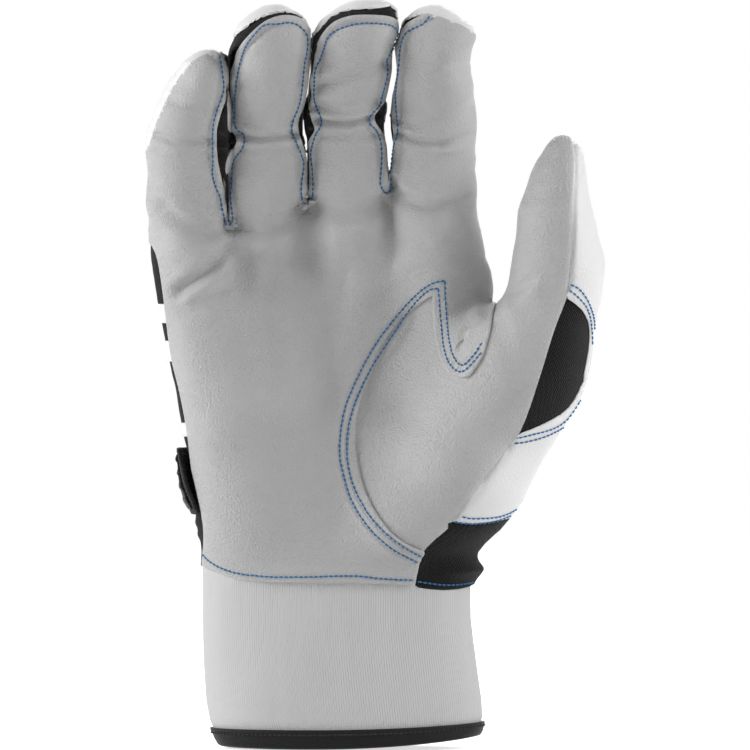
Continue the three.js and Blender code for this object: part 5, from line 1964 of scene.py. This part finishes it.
@dataclass(frozen=True)
class FingerBacks:
    """White backs of the fingers and the black gussets round the slits between them."""

    thickness: float = 1.0
    mesh_thickness: float = 0.7
    root_height: float = 145.0
    level: float = 0.05
    gusset_level: float = -0.55
    web_reach: float = 6.0
    web_drop: float = 9.0
    slit_gap: float = 0.03
    fills: Dict[Tuple[int, int], float] = field(default_factory=lambda: {
        (0, 1): 1.0, (0, -1): 1.0, (1, 1): -0.25, (1, -1): 0.9, (2, 1): 0.1, (2, -1): 0.0,
    })

    def build(self, shop: Workshop, areas: Areas) -> None:
        """Builds the backs and the gussets round the fingers and at their roots.

        Args:
            shop: Makes the pieces.
            areas: The net's cutting values.
        """
        for place, digit in enumerate(FINGERS):
            word = digit.word
            own = areas.between_slits(place)
            high = areas.height - areas.knuckles(self.root_height)
            back = areas.take(areas.white, own + 0.02, high, -areas.thumb)
            shop.bent(word + "_back_leather", back.moved(self.edge_lift(back)), Look.BACK,
                      self.thickness, digit, word + "_back", digit.name.lower() + "_knuckle_back")
            low = self.web_height(shop.glove.form, place, areas.side)
            middle = shop.glove.form.digits[place][2].side
            limit = np.full(len(areas.side), 99.0)
            if digit is Digit.LITTLE:
                limit = areas.side - middle + 1.0
            if digit is Digit.INDEX:
                limit = middle - 1.0 - areas.side
            gusset = areas.take(
                TUCK - areas.leather, TUCK - areas.white, limit, own + 0.02, areas.height - low,
            )
            shop.bent(word + "_fourchette", self.filled(gusset, shop.glove.form), Look.GUSSET,
                      self.mesh_thickness, digit, word + "_gusset")
        names = ("little_ring_gusset", "ring_middle_gusset", "middle_index_gusset")
        for place, name in enumerate(names):
            slit, bottom = shop.glove.form.slits[place]
            near = 13.0 - np.abs(areas.side - slit)
            root = areas.take(
                TUCK - areas.leather, TUCK - areas.white, near,
                bottom + self.web_reach - areas.height, areas.height - bottom + self.web_drop,
            )
            shop.fixed(name + "_mesh", self.filled(root, shop.glove.form), Look.GUSSET,
                       self.mesh_thickness, name)

    def filled(self, sheet: Sheet, form: HandForm) -> Sheet:
        """A gusset whose walls stand out towards the slit, to fill the gap between two fingers.

        Args:
            sheet: The gusset as it is cut from the net.
            form: The hand inside the glove.

        Returns:
            The filled gusset.
        """
        moved = sheet.moved(self.gusset_level)
        at = moved.at
        shift = np.zeros_like(at)
        for (place, direction), share in self.fills.items():
            plane = form.slit_side(place, at[:, 2]) - direction * self.slit_gap
            bottom = form.slits[place][1]
            facing = smoothstep(direction * sheet.normal[:, 0], 0.25, 0.75)
            near = (direction * (plane - at[:, 0]) > 0) & (np.abs(at[:, 0] - plane) < 14)
            height = smoothstep(at[:, 2], bottom - 1, bottom + 4)
            height *= 1 - smoothstep(at[:, 2], 206, 214)
            shift[:, 0] += np.where(near, (plane - at[:, 0]) * facing * height * share, 0)
        return moved.moved(shift)

    def web_height(self, form: HandForm, place: int, sides: Array) -> Array:
        """Height at which a finger's gusset takes over from the web at each side."""
        middle = form.digits[place][2].side
        left = form.slits[max(place - 1, 0)][1]
        right = form.slits[min(place, 2)][1]
        return np.where(sides < middle, left, right) + self.web_reach

    def edge_lift(self, back: Sheet) -> Array:
        """Outward distances of a back: its edges are turned under."""
        free, _ = back.rim()
        edge = back.at[np.unique(free)]
        tree = BVHTree.FromPolygons(
            np.repeat(edge, 3, axis=0).tolist(),
            np.arange(len(edge) * 3).reshape(-1, 3).tolist(),
        )
        near = np.array([tree.find_nearest(Vector(p), 6.0)[3] or 6.0 for p in back.at.tolist()])
        return self.level - 0.3 * bell(near, 1.0) + 0.12 * smoothstep(near, 1.0, 4.0)


@dataclass(frozen=True)
class ThumbPanels:
    """The thumb's front leather, its white back, the black knuckle inset and the heel."""

    thickness: float = 1.0
    foot: float = 52.0
    upper_rows: Tuple[Pixels, ...] = (
        ((570, 284.6), (577.8, 288), (586.7, 299), (593.4, 317), (594.5, 335)),
        ((568.8, 290), (577.8, 297), (586.7, 308), (591, 323.7), (592.2, 345)),
    )
    lower_rows: Tuple[Pixels, ...] = (
        ((515, 438.6), (531, 435), (553, 428.6), (566.6, 419.6), (577.8, 404), (583, 394)),
        ((514, 443.8), (531, 440.8), (548.8, 435), (566.6, 425), (575.5, 415), (584, 403)),
    )
    heel_rows: Tuple[Pixels, ...] = (
        ((461.7, 516.7), (472.9, 518.5), (495, 517.4), (508.6, 513.4), (516.4, 509)),
        ((453.9, 521.9), (472.9, 523.7), (495, 521.2), (510.8, 515.6)),
    )

    def build(self, shop: Workshop, areas: Areas) -> None:
        """Builds the thumb's panels and stitches.

        Args:
            shop: Makes the pieces.
            areas: The net's cutting values.
        """
        glove = shop.glove
        front = areas.take(areas.front, 3.2 - areas.leather, areas.height - self.foot)
        lift = 0.15 - 0.9 * self.groove(front, glove)
        shop.bent("thumb_front_leather", front.moved(lift), Look.PALM, self.thickness,
                  Digit.THUMB, "thumb_panel", "thumb_tip_front")
        white = areas.take(
            areas.thumb, 0.05 - areas.front, 0.3 - areas.leather, -areas.lower, -areas.knee,
        )
        cover = self.white_sheet(white, glove)
        shop.bent("thumb_back_leather", cover, Look.BACK, self.thickness, Digit.THUMB,
                  "thumb_back", "thumb_tip_back")
        upper = Tree(cover, glove.lens).rows(self.upper_rows)
        shop.bend(shop.stitching("thumb_back_rows", upper, "blue_thread", Look.BACK), Digit.THUMB)
        knee = areas.take(areas.thumb, areas.knee + TUCK, TUCK - areas.front)
        shop.fixed("thumb_knuckle_stretch", knee.moved(-0.3), Look.STRETCH, self.thickness,
                   "thumb_knuckle_inset")
        heel = areas.take(
            areas.thumb, areas.lower, 0.05 - areas.front, 0.3 - areas.leather, -areas.wrist,
            -areas.knee,
        )
        cover = self.white_sheet(heel, glove)
        shop.fixed("thumb_heel_leather", cover, Look.BACK, self.thickness, "thumb_heel_back")
        rows = Tree(cover, glove.lens).rows(self.lower_rows + self.heel_rows)
        shop.fix(shop.stitching("thumb_heel_rows", rows, "blue_thread", Look.BACK))

    @staticmethod
    def white_sheet(sheet: Sheet, glove: Glove) -> Sheet:
        """A white panel that lies over its black neighbours and dips at the thumb's seam."""
        facing = smoothstep(-sheet.normal[:, 1], -0.3, 0.1)
        return sheet.moved(0.25 - 1.0 * ThumbPanels.groove(sheet, glove) * facing)

    @staticmethod
    def groove(sheet: Sheet, glove: Glove) -> Array:
        """Share of the groove along the thumb's seam; there is none beside the black pieces."""
        pattern = glove.pattern
        near = bell(glove.beside(sheet, pattern.thumb_seam), 0.7)
        black = np.maximum(
            glove.inside(sheet, curve(pattern.knee)), glove.inside(sheet, pattern.wrist_gusset),
        )
        return near * smoothstep(-black, 0.6, 2.6)


@dataclass(frozen=True)
class BackPanels:
    """The black back, the bars sewn on it, the back of the wrist with its slit, and the gusset."""

    thickness: float = 0.9
    wrist_height: float = 98.0
    knuckle_height: float = 145.0
    foot: float = 48.5
    slit: Tuple[float, float, float] = (8.0, 6.0, 88.0)
    bars: Tuple[Tuple[float, float], ...] = ((127.5, 133.0), (116.0, 122.0), (93.5, 97.5))
    bar_sides: Tuple[float, float] = (-44.0, 34.0)
    bar_rise: float = 12.0
    bar_inset: float = 0.9
    bar_thickness: float = 0.7
    gusset_seam: Pixels = ((414, 581), (430, 583.5), (445, 585), (460, 584.3), (474, 582))
    gusset_foot: Pixels = ((400, 584), (414, 586), (430, 588.5), (445, 589.5), (460, 588.5),
                           (471, 586), (478, 582), (484, 575))

    def build(self, shop: Workshop, areas: Areas) -> None:
        """Builds the panels, bars and gusset.

        Args:
            shop: Makes the pieces.
            areas: The net's cutting values.
        """
        glove = shop.glove
        behind = least(TUCK - areas.leather, TUCK - areas.front, TUCK - areas.thumb)
        panel = areas.take(
            behind, areas.height - self.wrist_height,
            areas.knuckles(self.knuckle_height) + TUCK - areas.height,
        )
        shop.fixed("back_panel_stretch", self.gathered(glove, panel, -0.35), Look.STRETCH,
                   self.thickness, "back_panel")
        side, half, top = self.slit
        apart = np.abs(areas.side - side) - half * (1 - areas.height / top)
        open_back = np.where(areas.back > 0, apart, 9.0)
        foot = self.foot + 6.3 * smoothstep(areas.reach, -24.0, -14.0)
        wrist = areas.take(
            behind, self.wrist_height - areas.height, areas.height - foot, open_back,
        )
        level = 0.35 - 0.7 * smoothstep(wrist.at[:, 2], 55.0, 62.0)
        shop.fixed("wrist_back_stretch", self.gathered(glove, wrist, level), Look.STRETCH,
                   self.thickness, "wrist_back_panel")
        slit = areas.take(
            TUCK - open_back, areas.back, top + 1 - areas.height, areas.height - self.foot,
        )
        folds = -0.8 - 0.35 * np.cos((slit.at[:, 0] - side) * 2.1)
        folds += (0.2 - folds) * (1 - smoothstep(slit.at[:, 2], 55.0, 63.0))
        shop.fixed("wrist_slit_stretch", slit.moved(folds), Look.GUSSET, self.thickness,
                   "wrist_slit_gusset")
        for number, (low, high) in enumerate(self.bars):
            self.bar(shop, areas, number + 1, low, high)
        self.side_gusset(shop, areas)

    def gathered(self, glove: Glove, sheet: Sheet, level: Union[float, Array]) -> Sheet:
        """A stretch panel with small gathers above the cuff at the little finger's edge."""
        height, side = sheet.at[:, 2], sheet.at[:, 0]
        where = (1 - smoothstep(height, 66, 76)) * (1 - smoothstep(side, -36, -24))
        where *= smoothstep(height, 52, 57)
        where *= smoothstep(-glove.leather(sheet), 0.5, 2.0)
        ripple = (0.55 + 0.22 * np.sin(height * 1.6)) * where
        return sheet.moved(level + ripple)

    def slant(self, sides: Array) -> Array:
        """How much higher the bars run at each side than at the little finger's edge."""
        start, end = self.bar_sides
        return self.bar_rise * np.clip((sides - start) / (end - start), 0, 1)

    def bar(self, shop: Workshop, areas: Areas, number: int, low: float, high: float) -> None:
        """Builds one bar and its stitches.

        Args:
            shop: Makes the pieces.
            areas: The net's cutting values.
            number: The bar's number, from the knuckles down.
            low: Height of its lower edge at the little finger's edge.
            high: Height of its upper edge there.
        """
        start, end = self.bar_sides
        rise = self.slant(areas.side)
        own = least(
            areas.height - low - rise, high + rise - areas.height, end - areas.side,
            0.3 - areas.leather, np.where(areas.thumb > -2, -1.0, 9.0),
            np.where(areas.side < -25, 12.0, 2.0) - areas.reach,
        )
        sheet = shop.glove.base.cut(own)
        height = sheet.at[:, 2] - self.slant(sheet.at[:, 0])
        away = np.minimum(height - low, high - height)
        cover = sheet.moved(-0.05 + 0.2 * smoothstep(away, 0, 0.8))
        name = f"back_bar_{number}"
        shop.fixed(name + "_leather", cover, Look.BACK, self.bar_thickness, name)
        tree = Tree(cover, shop.glove.lens)
        sides = np.linspace(start - 2, end - 1.2, 150)
        rows = [
            tree.from_behind(sides, edge + self.slant(sides))
            for edge in (low + self.bar_inset, high - self.bar_inset)
        ]
        shop.fix(shop.stitching(name + "_rows", rows, "white_thread", Look.BACK))

    def side_gusset(self, shop: Workshop, areas: Areas) -> None:
        """Builds the black stretch piece at the thumb side of the wrist.

        Args:
            shop: Makes the pieces.
            areas: The net's cutting values.
        """
        glove = shop.glove
        above = glove.above(glove.base, self.gusset_foot)
        part = areas.take(
            areas.thumb, areas.wrist + TUCK, TUCK - areas.front, TUCK - areas.leather, above,
        )
        height = part.at[:, 2]
        bulge = 3.2 * bell(height - 53.8, 3.0)
        pinch = 0.6 * smoothstep(height, 56.0, 62.0)
        right = smoothstep(part.at[:, 0], 24, 36)
        sheet = part.moved(-0.2 + (bulge + pinch) * right)
        shop.fixed("wrist_side_stretch", sheet, Look.STRETCH, self.thickness, "wrist_side_gusset")
        rows = Tree(sheet, glove.lens).rows([self.gusset_seam])
        shop.fix(shop.stitching("wrist_side_seam", rows, "blue_thread", Look.STRETCH))


@dataclass(frozen=True)
class WristClosure:
    """The strap with its hook patch and pull tab, its sewn end, the loop patch and the elastic."""

    bottom: float = 70.5
    top: float = 90.5
    sewn_side: float = 12.0
    anchor_breadth: float = 11.0
    patch_left: float = -38.0
    patch_right: float = 6.0
    hook_right: float = -10.0
    tab_right: float = -30.0
    tab_bottom: float = -43.0
    tab_top: float = -47.5
    strap_level: float = 2.7
    strap_thickness: float = 1.1
    tab_thickness: float = 0.9
    tab_inset: float = 1.4
    rib_pitch: float = 4.2
    hook_thickness: float = 0.7
    loop_thickness: float = 1.1
    loop_level: float = 0.8
    patch_inset: float = 2.0
    anchor_thickness: float = 1.8
    cross_inset: float = 2.4
    elastic_thickness: float = 0.8
    elastic_level: float = -1.9
    elastic_heights: Tuple[float, float] = (57.0, 65.0)
    row_inset: float = 1.8
    row_start: float = -44.0

    def edge(self, areas: Areas, inset: float) -> Array:
        """How far points lie inside the strap's slanting front end."""
        share = (areas.height - self.bottom) / (self.top - self.bottom)
        front = self.tab_bottom + (self.tab_top - self.tab_bottom) * share - areas.side - inset
        return np.maximum(front, areas.back * 0.8)

    def band(self, areas: Areas, inset: float) -> Array:
        """How far points lie inside the strap's breadth."""
        return least(areas.height - self.bottom - inset, self.top - inset - areas.height)

    def build(self, shop: Workshop, areas: Areas) -> None:
        """Builds the closure.

        Args:
            shop: Makes the pieces.
            areas: The net's cutting values.
        """
        strap = areas.take(self.band(areas, 0), self.edge(areas, 0), self.sewn_side - areas.side)
        depth = self.depth(strap)
        lift = self.strap_level + 0.25 * smoothstep(depth, 0, 1.2) - self.sag(strap)
        lift -= 0.2 * bell(depth - self.row_inset, 0.35)
        cover = strap.moved(lift)
        shop.fixed("closure_strap_web", cover, Look.STRAP, self.strap_thickness, "closure_strap",
                   "strap", lined=True)
        self.rows(shop, cover)
        tab = areas.take(
            self.band(areas, self.tab_inset), self.edge(areas, 0.6), self.tab_right - areas.side,
        )
        depth = self.depth(tab) - self.tab_inset
        turn = (tab.at[:, 2] - self.bottom) * 2 * np.pi / self.rib_pitch
        ribs = 0.35 * np.maximum(np.cos(turn), 0)
        lift = self.strap_level + 0.5 + (0.5 + ribs) * smoothstep(depth, 0, 0.9) - self.sag(tab)
        shop.fixed("pull_tab_web", tab.moved(lift), Look.BINDING, self.tab_thickness, "pull_tab",
                   "strap", lined=True)
        hook = self.patch(areas, self.hook_right, self.strap_level - self.strap_thickness)
        shop.fixed("hook_patch_tape", hook, Look.TAPE, self.hook_thickness, "hook_patch", "strap",
                   lined=True)
        loop = self.patch(areas, self.patch_right, self.loop_level)
        shop.fixed("loop_patch_tape", loop, Look.TAPE, self.loop_thickness, "loop_patch")
        self.anchor(shop, areas)
        self.elastic(shop, areas)

    def patch(self, areas: Areas, right: float, level: float) -> Sheet:
        """The outer side of a piece of tape that ends at a side, at a level over the form."""
        part = areas.take(
            self.band(areas, self.patch_inset), areas.side - self.patch_left,
            right - areas.side, areas.back,
        )
        return part.moved(level)

    def depth(self, sheet: Sheet) -> Array:
        """How far points lie from the nearer long edge of the strap."""
        return np.minimum(sheet.at[:, 2] - self.bottom, self.top - sheet.at[:, 2])

    def sag(self, sheet: Sheet) -> Array:
        """How much closer the strap lies at its lower front corner."""
        low = 1 - smoothstep(sheet.at[:, 2], self.bottom - 1, self.bottom + 10)
        return 1.5 * low * (1 - smoothstep(sheet.at[:, 0], -44.0, -37.0))

    def rows(self, shop: Workshop, cover: Sheet) -> None:
        """Sews the strap's long edges."""
        tree = Tree(cover, shop.glove.lens)
        sides = np.linspace(self.row_start, self.sewn_side - 1.5, 120)
        lines = [
            tree.from_behind(sides, np.full(len(sides), height))
            for height in (self.bottom + self.row_inset, self.top - self.row_inset)
        ]
        shop.fix(shop.stitching("strap_rows", lines, "black_thread", Look.STRAP), "strap")

    def anchor(self, shop: Workshop, areas: Areas) -> None:
        """Builds the strap's sewn end with its cross of stitches.

        Args:
            shop: Makes the pieces.
            areas: The net's cutting values.
        """
        right = self.sewn_side + self.anchor_breadth
        part = areas.take(
            self.band(areas, 0), areas.side - self.sewn_side - 0.4, right - areas.side, areas.back,
        )
        depth = np.minimum(self.depth(part), right - part.at[:, 0])
        top = 1.2 + 1.9 * smoothstep(right - part.at[:, 0], 0, 8.5)
        cover = part.moved(top + 0.25 * smoothstep(depth, 0, 1.2))
        shop.fixed("strap_anchor_web", cover, Look.STRAP, self.anchor_thickness, "strap_anchor")
        left, right = self.sewn_side + 2.0, right - 2.0
        low, high = self.bottom + self.cross_inset, self.top - self.cross_inset
        corners = ((left, low), (right, low), (right, high), (left, high), (left, low),
                   (right, high), (right, low), (left, high))
        path = np.concatenate([
            np.linspace(a, b, 30, endpoint=False) for a, b in zip(corners[:-1], corners[1:])
        ])
        row = Tree(cover, shop.glove.lens).from_behind(path[:, 0], path[:, 1])
        shop.fix(shop.stitching("strap_anchor_cross", [row], "black_thread", Look.STRAP))

    def elastic(self, shop: Workshop, areas: Areas) -> None:
        """Builds the elastic inside the palm's side of the wrist."""
        low, high = self.elastic_heights
        part = areas.take(
            areas.height - low, high - areas.height, 5.0 - areas.side, -areas.back - 1.0,
        )
        ripple = 0.15 * np.sin(part.at[:, 0] * 2.4)
        shop.fixed("wrist_elastic_band", part.moved(self.elastic_level + ripple), Look.ELASTIC,
                   self.elastic_thickness, "wrist_elastic", lined=True)


@dataclass(frozen=True)
class Cuff:
    """The knit cuff and its bound rim."""

    lens: Lens
    steps: int = 288
    top: float = 55.2
    heights: Tuple[float, ...] = (0, 2, 4.5, 8, 14, 25, 33, 39, 52)
    left: Tuple[float, ...] = (222, 218.5, 214.5, 209, 205, 202.3, 201.5, 201.3, 202)
    right: Tuple[float, ...] = (477, 479.5, 481.5, 483.5, 482.5, 477.5, 474, 472, 472)
    depth: float = 39.2
    level: float = -0.35
    thickness: float = 1.5
    binding_height: float = 6.0
    binding_wall: float = 0.9
    rim_rise: float = 3.6

    def section(self, height: Array) -> Tuple[Array, Array]:
        """The oval's middle and breadth at heights, from its edges in the picture."""
        lens = self.lens
        left = np.interp(height, self.heights, self.left)
        right = np.interp(height, self.heights, self.right)
        middle = lens.middle_side + ((left + right) / 2 - lens.width / 2) * lens.per_pixel
        return middle, (right - left) * lens.per_pixel

    def place(self, angle: Array, height: Array, out: Array) -> Array:
        """Places on the cuff, by angle, height on the cloth and distance outward.

        Args:
            angle: Angles round the oval.
            height: Heights on the cloth.
            out: Distances outward.

        Returns:
            A place for each.
        """
        side, breadth = self.section(height)
        across, deep = breadth / 2, self.depth / 2
        wave = 0.12 * np.sin(3 * angle + height * 0.09) + 0.08 * np.sin(7 * angle - height * 0.13)
        normal = np.stack([np.cos(angle) * deep, np.sin(angle) * across], axis=-1)
        normal /= np.linalg.norm(normal, axis=-1, keepdims=True)
        right = ((1 + np.cos(angle)) / 2) ** 3 * (1 - np.clip(height / 26, 0, 1)) ** 2
        left = ((1 - np.cos(angle)) / 2) ** 3 * (1 - np.clip(height / 20, 0, 1)) ** 2
        return np.stack([
            side + np.cos(angle) * across + normal[..., 0] * (out + wave),
            np.sin(angle) * deep + normal[..., 1] * (out + wave),
            height + self.rim_rise * right + 0.5 * left,
        ], axis=-1)

    def loft(self, profile: Pixels) -> Tuple[Array, Array, Array]:
        """A tube whose closed section, given by distances out and heights, runs round the oval.

        Args:
            profile: The section's corners.

        Returns:
            Places, four-sided faces, and the surface measures of every place in metres.
        """
        angles = np.arange(self.steps) * 2 * np.pi / self.steps
        rings = [self.place(angles, np.full(self.steps, height), np.full(self.steps, out))
                 for out, height in profile]
        points = np.stack(rings)
        run = lengths_along(np.array(profile))
        arc = lengths_along(points[0])
        measures = np.stack(np.broadcast_arrays(arc[None] * MM, run[:, None] * MM), axis=2)
        rows = np.arange(len(profile))
        here, there = rows[:, None] * self.steps, ((rows + 1) % len(profile))[:, None] * self.steps
        turn = np.arange(self.steps)[None]
        beside = (turn + 1) % self.steps
        faces = np.stack([here + turn, here + beside, there + beside, there + turn], axis=2)
        return points.reshape(-1, 3), faces.reshape(-1, 4), measures.reshape(-1, 2)

    def measured(self, obj: bpy.types.Object, faces: Array, measures: Array) -> None:
        """Gives a piece its surface measures as UVs, without a jump at the joint."""
        layer = obj.data.uv_layers.new(name="measure")
        values = measures[faces]
        length = values[..., 0].max()
        wraps = (values[..., 0].max(axis=1) - values[..., 0].min(axis=1)) > length / 2
        late = values[..., 0] < length / 2
        values[..., 0] += np.where(wraps[:, None] & late, length * (1 + 1 / self.steps), 0)
        layer.data.foreach_set("uv", values.astype(np.float32).reshape(-1))

    def tube(self, shop: Workshop, name: str, profile: Pixels, look: Look, node: str) -> None:
        """Makes a tube round the cuff in a node's place.

        Args:
            shop: Makes the piece.
            name: The piece's name.
            profile: Its section, as distances out and heights.
            look: Its finish.
            node: The frame's node that it replaces.
        """
        points, faces, measures = self.loft(profile)
        piece = shop.piece(name, points, faces, shop.materials[look], look.value)
        if look is Look.KNIT:
            self.measured(piece, faces, measures)
        shop.fix(piece)
        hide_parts(node)

    def build(self, shop: Workshop) -> None:
        """Builds the knit, the binding and its stitches.

        Args:
            shop: Makes the pieces.
        """
        heights = np.linspace(1.2, self.top, 64)
        inside = self.level - self.thickness
        outer = [(self.level, height) for height in heights]
        inner = [(inside, height) for height in heights[::-1]]
        self.tube(shop, "knit_cuff_tube", outer + inner, Look.KNIT, "knit_cuff")
        wall, height = self.binding_wall, self.binding_height
        turn = np.linspace(-np.pi, 0, 9)
        half = (wall - inside + 0.3 + wall) / 2
        middle = (wall + inside - wall - 0.3) / 2
        foot = [(middle - np.cos(t) * half, 0.9 + 0.9 * np.sin(t)) for t in turn[::-1]]
        roll = [
            (wall, 1.8), (wall + 0.1, 2.6), (wall - 0.12, height * 0.74),
            (wall + 0.05, height * 0.86), (wall - 0.25, height), (wall - 0.75, height),
        ]
        lining = [
            (inside + 0.1, height - 0.4), (inside - wall - 0.1, height - 0.6),
            (inside - wall - 0.3, height * 0.5),
        ]
        self.tube(shop, "cuff_binding_tape", foot + roll + lining, Look.BINDING, "cuff_binding")
        angles = np.linspace(0, 2 * np.pi, 900)
        seam = np.full(900, height * 0.74)
        line = self.place(angles, seam, np.full(900, wall - 0.08))
        away = self.place(angles, seam, np.full(900, wall + 1.0)) - line
        row = shop.stitching("cuff_binding_row", [(line, away)], "black_thread", Look.BINDING)
        shop.fix(row)


@dataclass(frozen=True)
class Lamp:
    """An area light: its place, size, power, target and spread, in metres, watts and degrees."""

    name: str
    at: Tuple[float, float, float]
    size: float
    power: float
    target: Tuple[float, float, float] = (0.0, 0.0, 0.11)
    spread: float = 180.0

    def build(self) -> None:
        """Adds the light, facing its target."""
        light = bpy.data.lights.new(self.name, "AREA")
        light.energy = self.power
        light.size = self.size
        light.spread = math.radians(self.spread)
        obj = bpy.data.objects.new(self.name, light)
        obj.location = self.at
        towards = Vector(self.target) - Vector(self.at)
        obj.rotation_euler = towards.to_track_quat("-Z", "Y").to_euler()
        bpy.context.scene.collection.objects.link(obj)


@dataclass(frozen=True)
class Studio:
    """A pale floor, soft light from the upper left, and the camera."""

    floor_size: float = 6.0
    lamps: Tuple[Lamp, ...] = (
        Lamp("left_light", (-1.85, -0.3, 0.75), 1.2, 42.0),
        Lamp("right_light", (1.8, -0.5, 0.85), 1.2, 26.0),
        Lamp("top_light", (0.95, -0.45, 1.7), 0.9, 8.0),
        Lamp("back_light", (0.2, 1.9, 0.9), 1.0, 15.0),
        Lamp("floor_light", (0.0, -0.6, 0.85), 0.5, 0.8, (0.0, -0.6, 0.0), 65.0),
    )
    film: float = 36.0
    sky: float = 0.09
    floor_colour: float = 0.9
    floor_glow: Tuple[float, float] = (0.66, 0.95)
    floor_fade: Tuple[float, float] = (0.25, 0.7)

    def build(self, lens: Lens, shift: Array) -> None:
        """Sets up the floor, the lights and the camera.

        Args:
            lens: The camera's place and scale.
            shift: Where the form's origin lies in the frame.
        """
        self.floor()
        self.world()
        for lamp in self.lamps:
            lamp.build()
        camera = bpy.data.cameras.new("camera")
        camera.sensor_width = self.film
        camera.lens = self.film * lens.distance / (lens.width * lens.per_pixel)
        camera.clip_end = 50.0
        seat = bpy.data.objects.new("camera", camera)
        seat.location = (
            (lens.middle_side + shift[0]) * MM, (shift[1] - lens.distance) * MM,
            lens.middle_height * MM,
        )
        seat.rotation_euler = (math.pi / 2, 0, 0)
        bpy.context.scene.collection.objects.link(seat)
        bpy.context.scene.camera = seat
        view = bpy.context.scene.view_settings
        view.view_transform = "Standard"

    def floor(self) -> None:
        """Adds the floor."""
        half = self.floor_size / 2
        mesh = bpy.data.meshes.new("studio_floor")
        corners = [(-half, -half, 0), (half, -half, 0), (half, half, 0), (-half, half, 0)]
        mesh.from_pydata(corners, [], [(0, 1, 2, 3)])
        obj = bpy.data.objects.new("studio_floor", mesh)
        bpy.context.scene.collection.objects.link(obj)
        material, shader = Shader.start("studio_floor")
        spots = shader.add("TexCoord")
        noise = shader.add("TexNoise", {"Vector": spots.outputs["Object"], "Scale": 40.0})
        plain = (self.floor_colour,) * 3
        tone = shader.mix(noise.outputs["Fac"], tint(plain, 0.98), tint(plain, 1.02))
        away = shader.add("VectorMath", {0: spots.outputs["Object"]}, operation="LENGTH")
        far = shader.ramp(away.outputs["Value"], *self.floor_fade)
        near, rim = self.floor_glow
        glow = shader.sums("MULTIPLY_ADD", far, rim - near, near)
        shader.surface({
            "Base Color": tone, "Roughness": 0.9, "Emission Color": (1, 1, 1, 1),
            "Emission Strength": shader.sums("MULTIPLY", shader.seen(), glow),
        })
        mesh.materials.append(material)

    def world(self) -> None:
        """Sets an even pale sky that is plain white to the camera."""
        world = bpy.data.worlds.new("studio")
        world.use_nodes = True
        shader = Shader(world.node_tree)
        strength = shader.sums("MULTIPLY_ADD", shader.seen(), 1.0 - self.sky, self.sky)
        sky = shader.add("Background", {"Color": (1, 1, 1, 1), "Strength": strength})
        shader.add("OutputWorld", {"Surface": sky.outputs[0]})
        bpy.context.scene.world = world


def main() -> None:
    """Builds the dressed glove round its frame."""
    logging.basicConfig(level=logging.INFO, format="%(message)s")
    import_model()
    glove = Glove(HandForm(), Lens(), Pattern())
    LOG.info("form's place in the frame: %s mm", np.round(glove.shift, 3))
    shop = Workshop(glove)
    areas = Areas(glove)
    PalmLeather().build(shop, areas)
    FingerBacks().build(shop, areas)
    ThumbPanels().build(shop, areas)
    BackPanels().build(shop, areas)
    WristClosure().build(shop, areas)
    Cuff(glove.lens).build(shop)
    Studio().build(glove.lens, glove.shift)


if __name__ == "__main__":
    main()
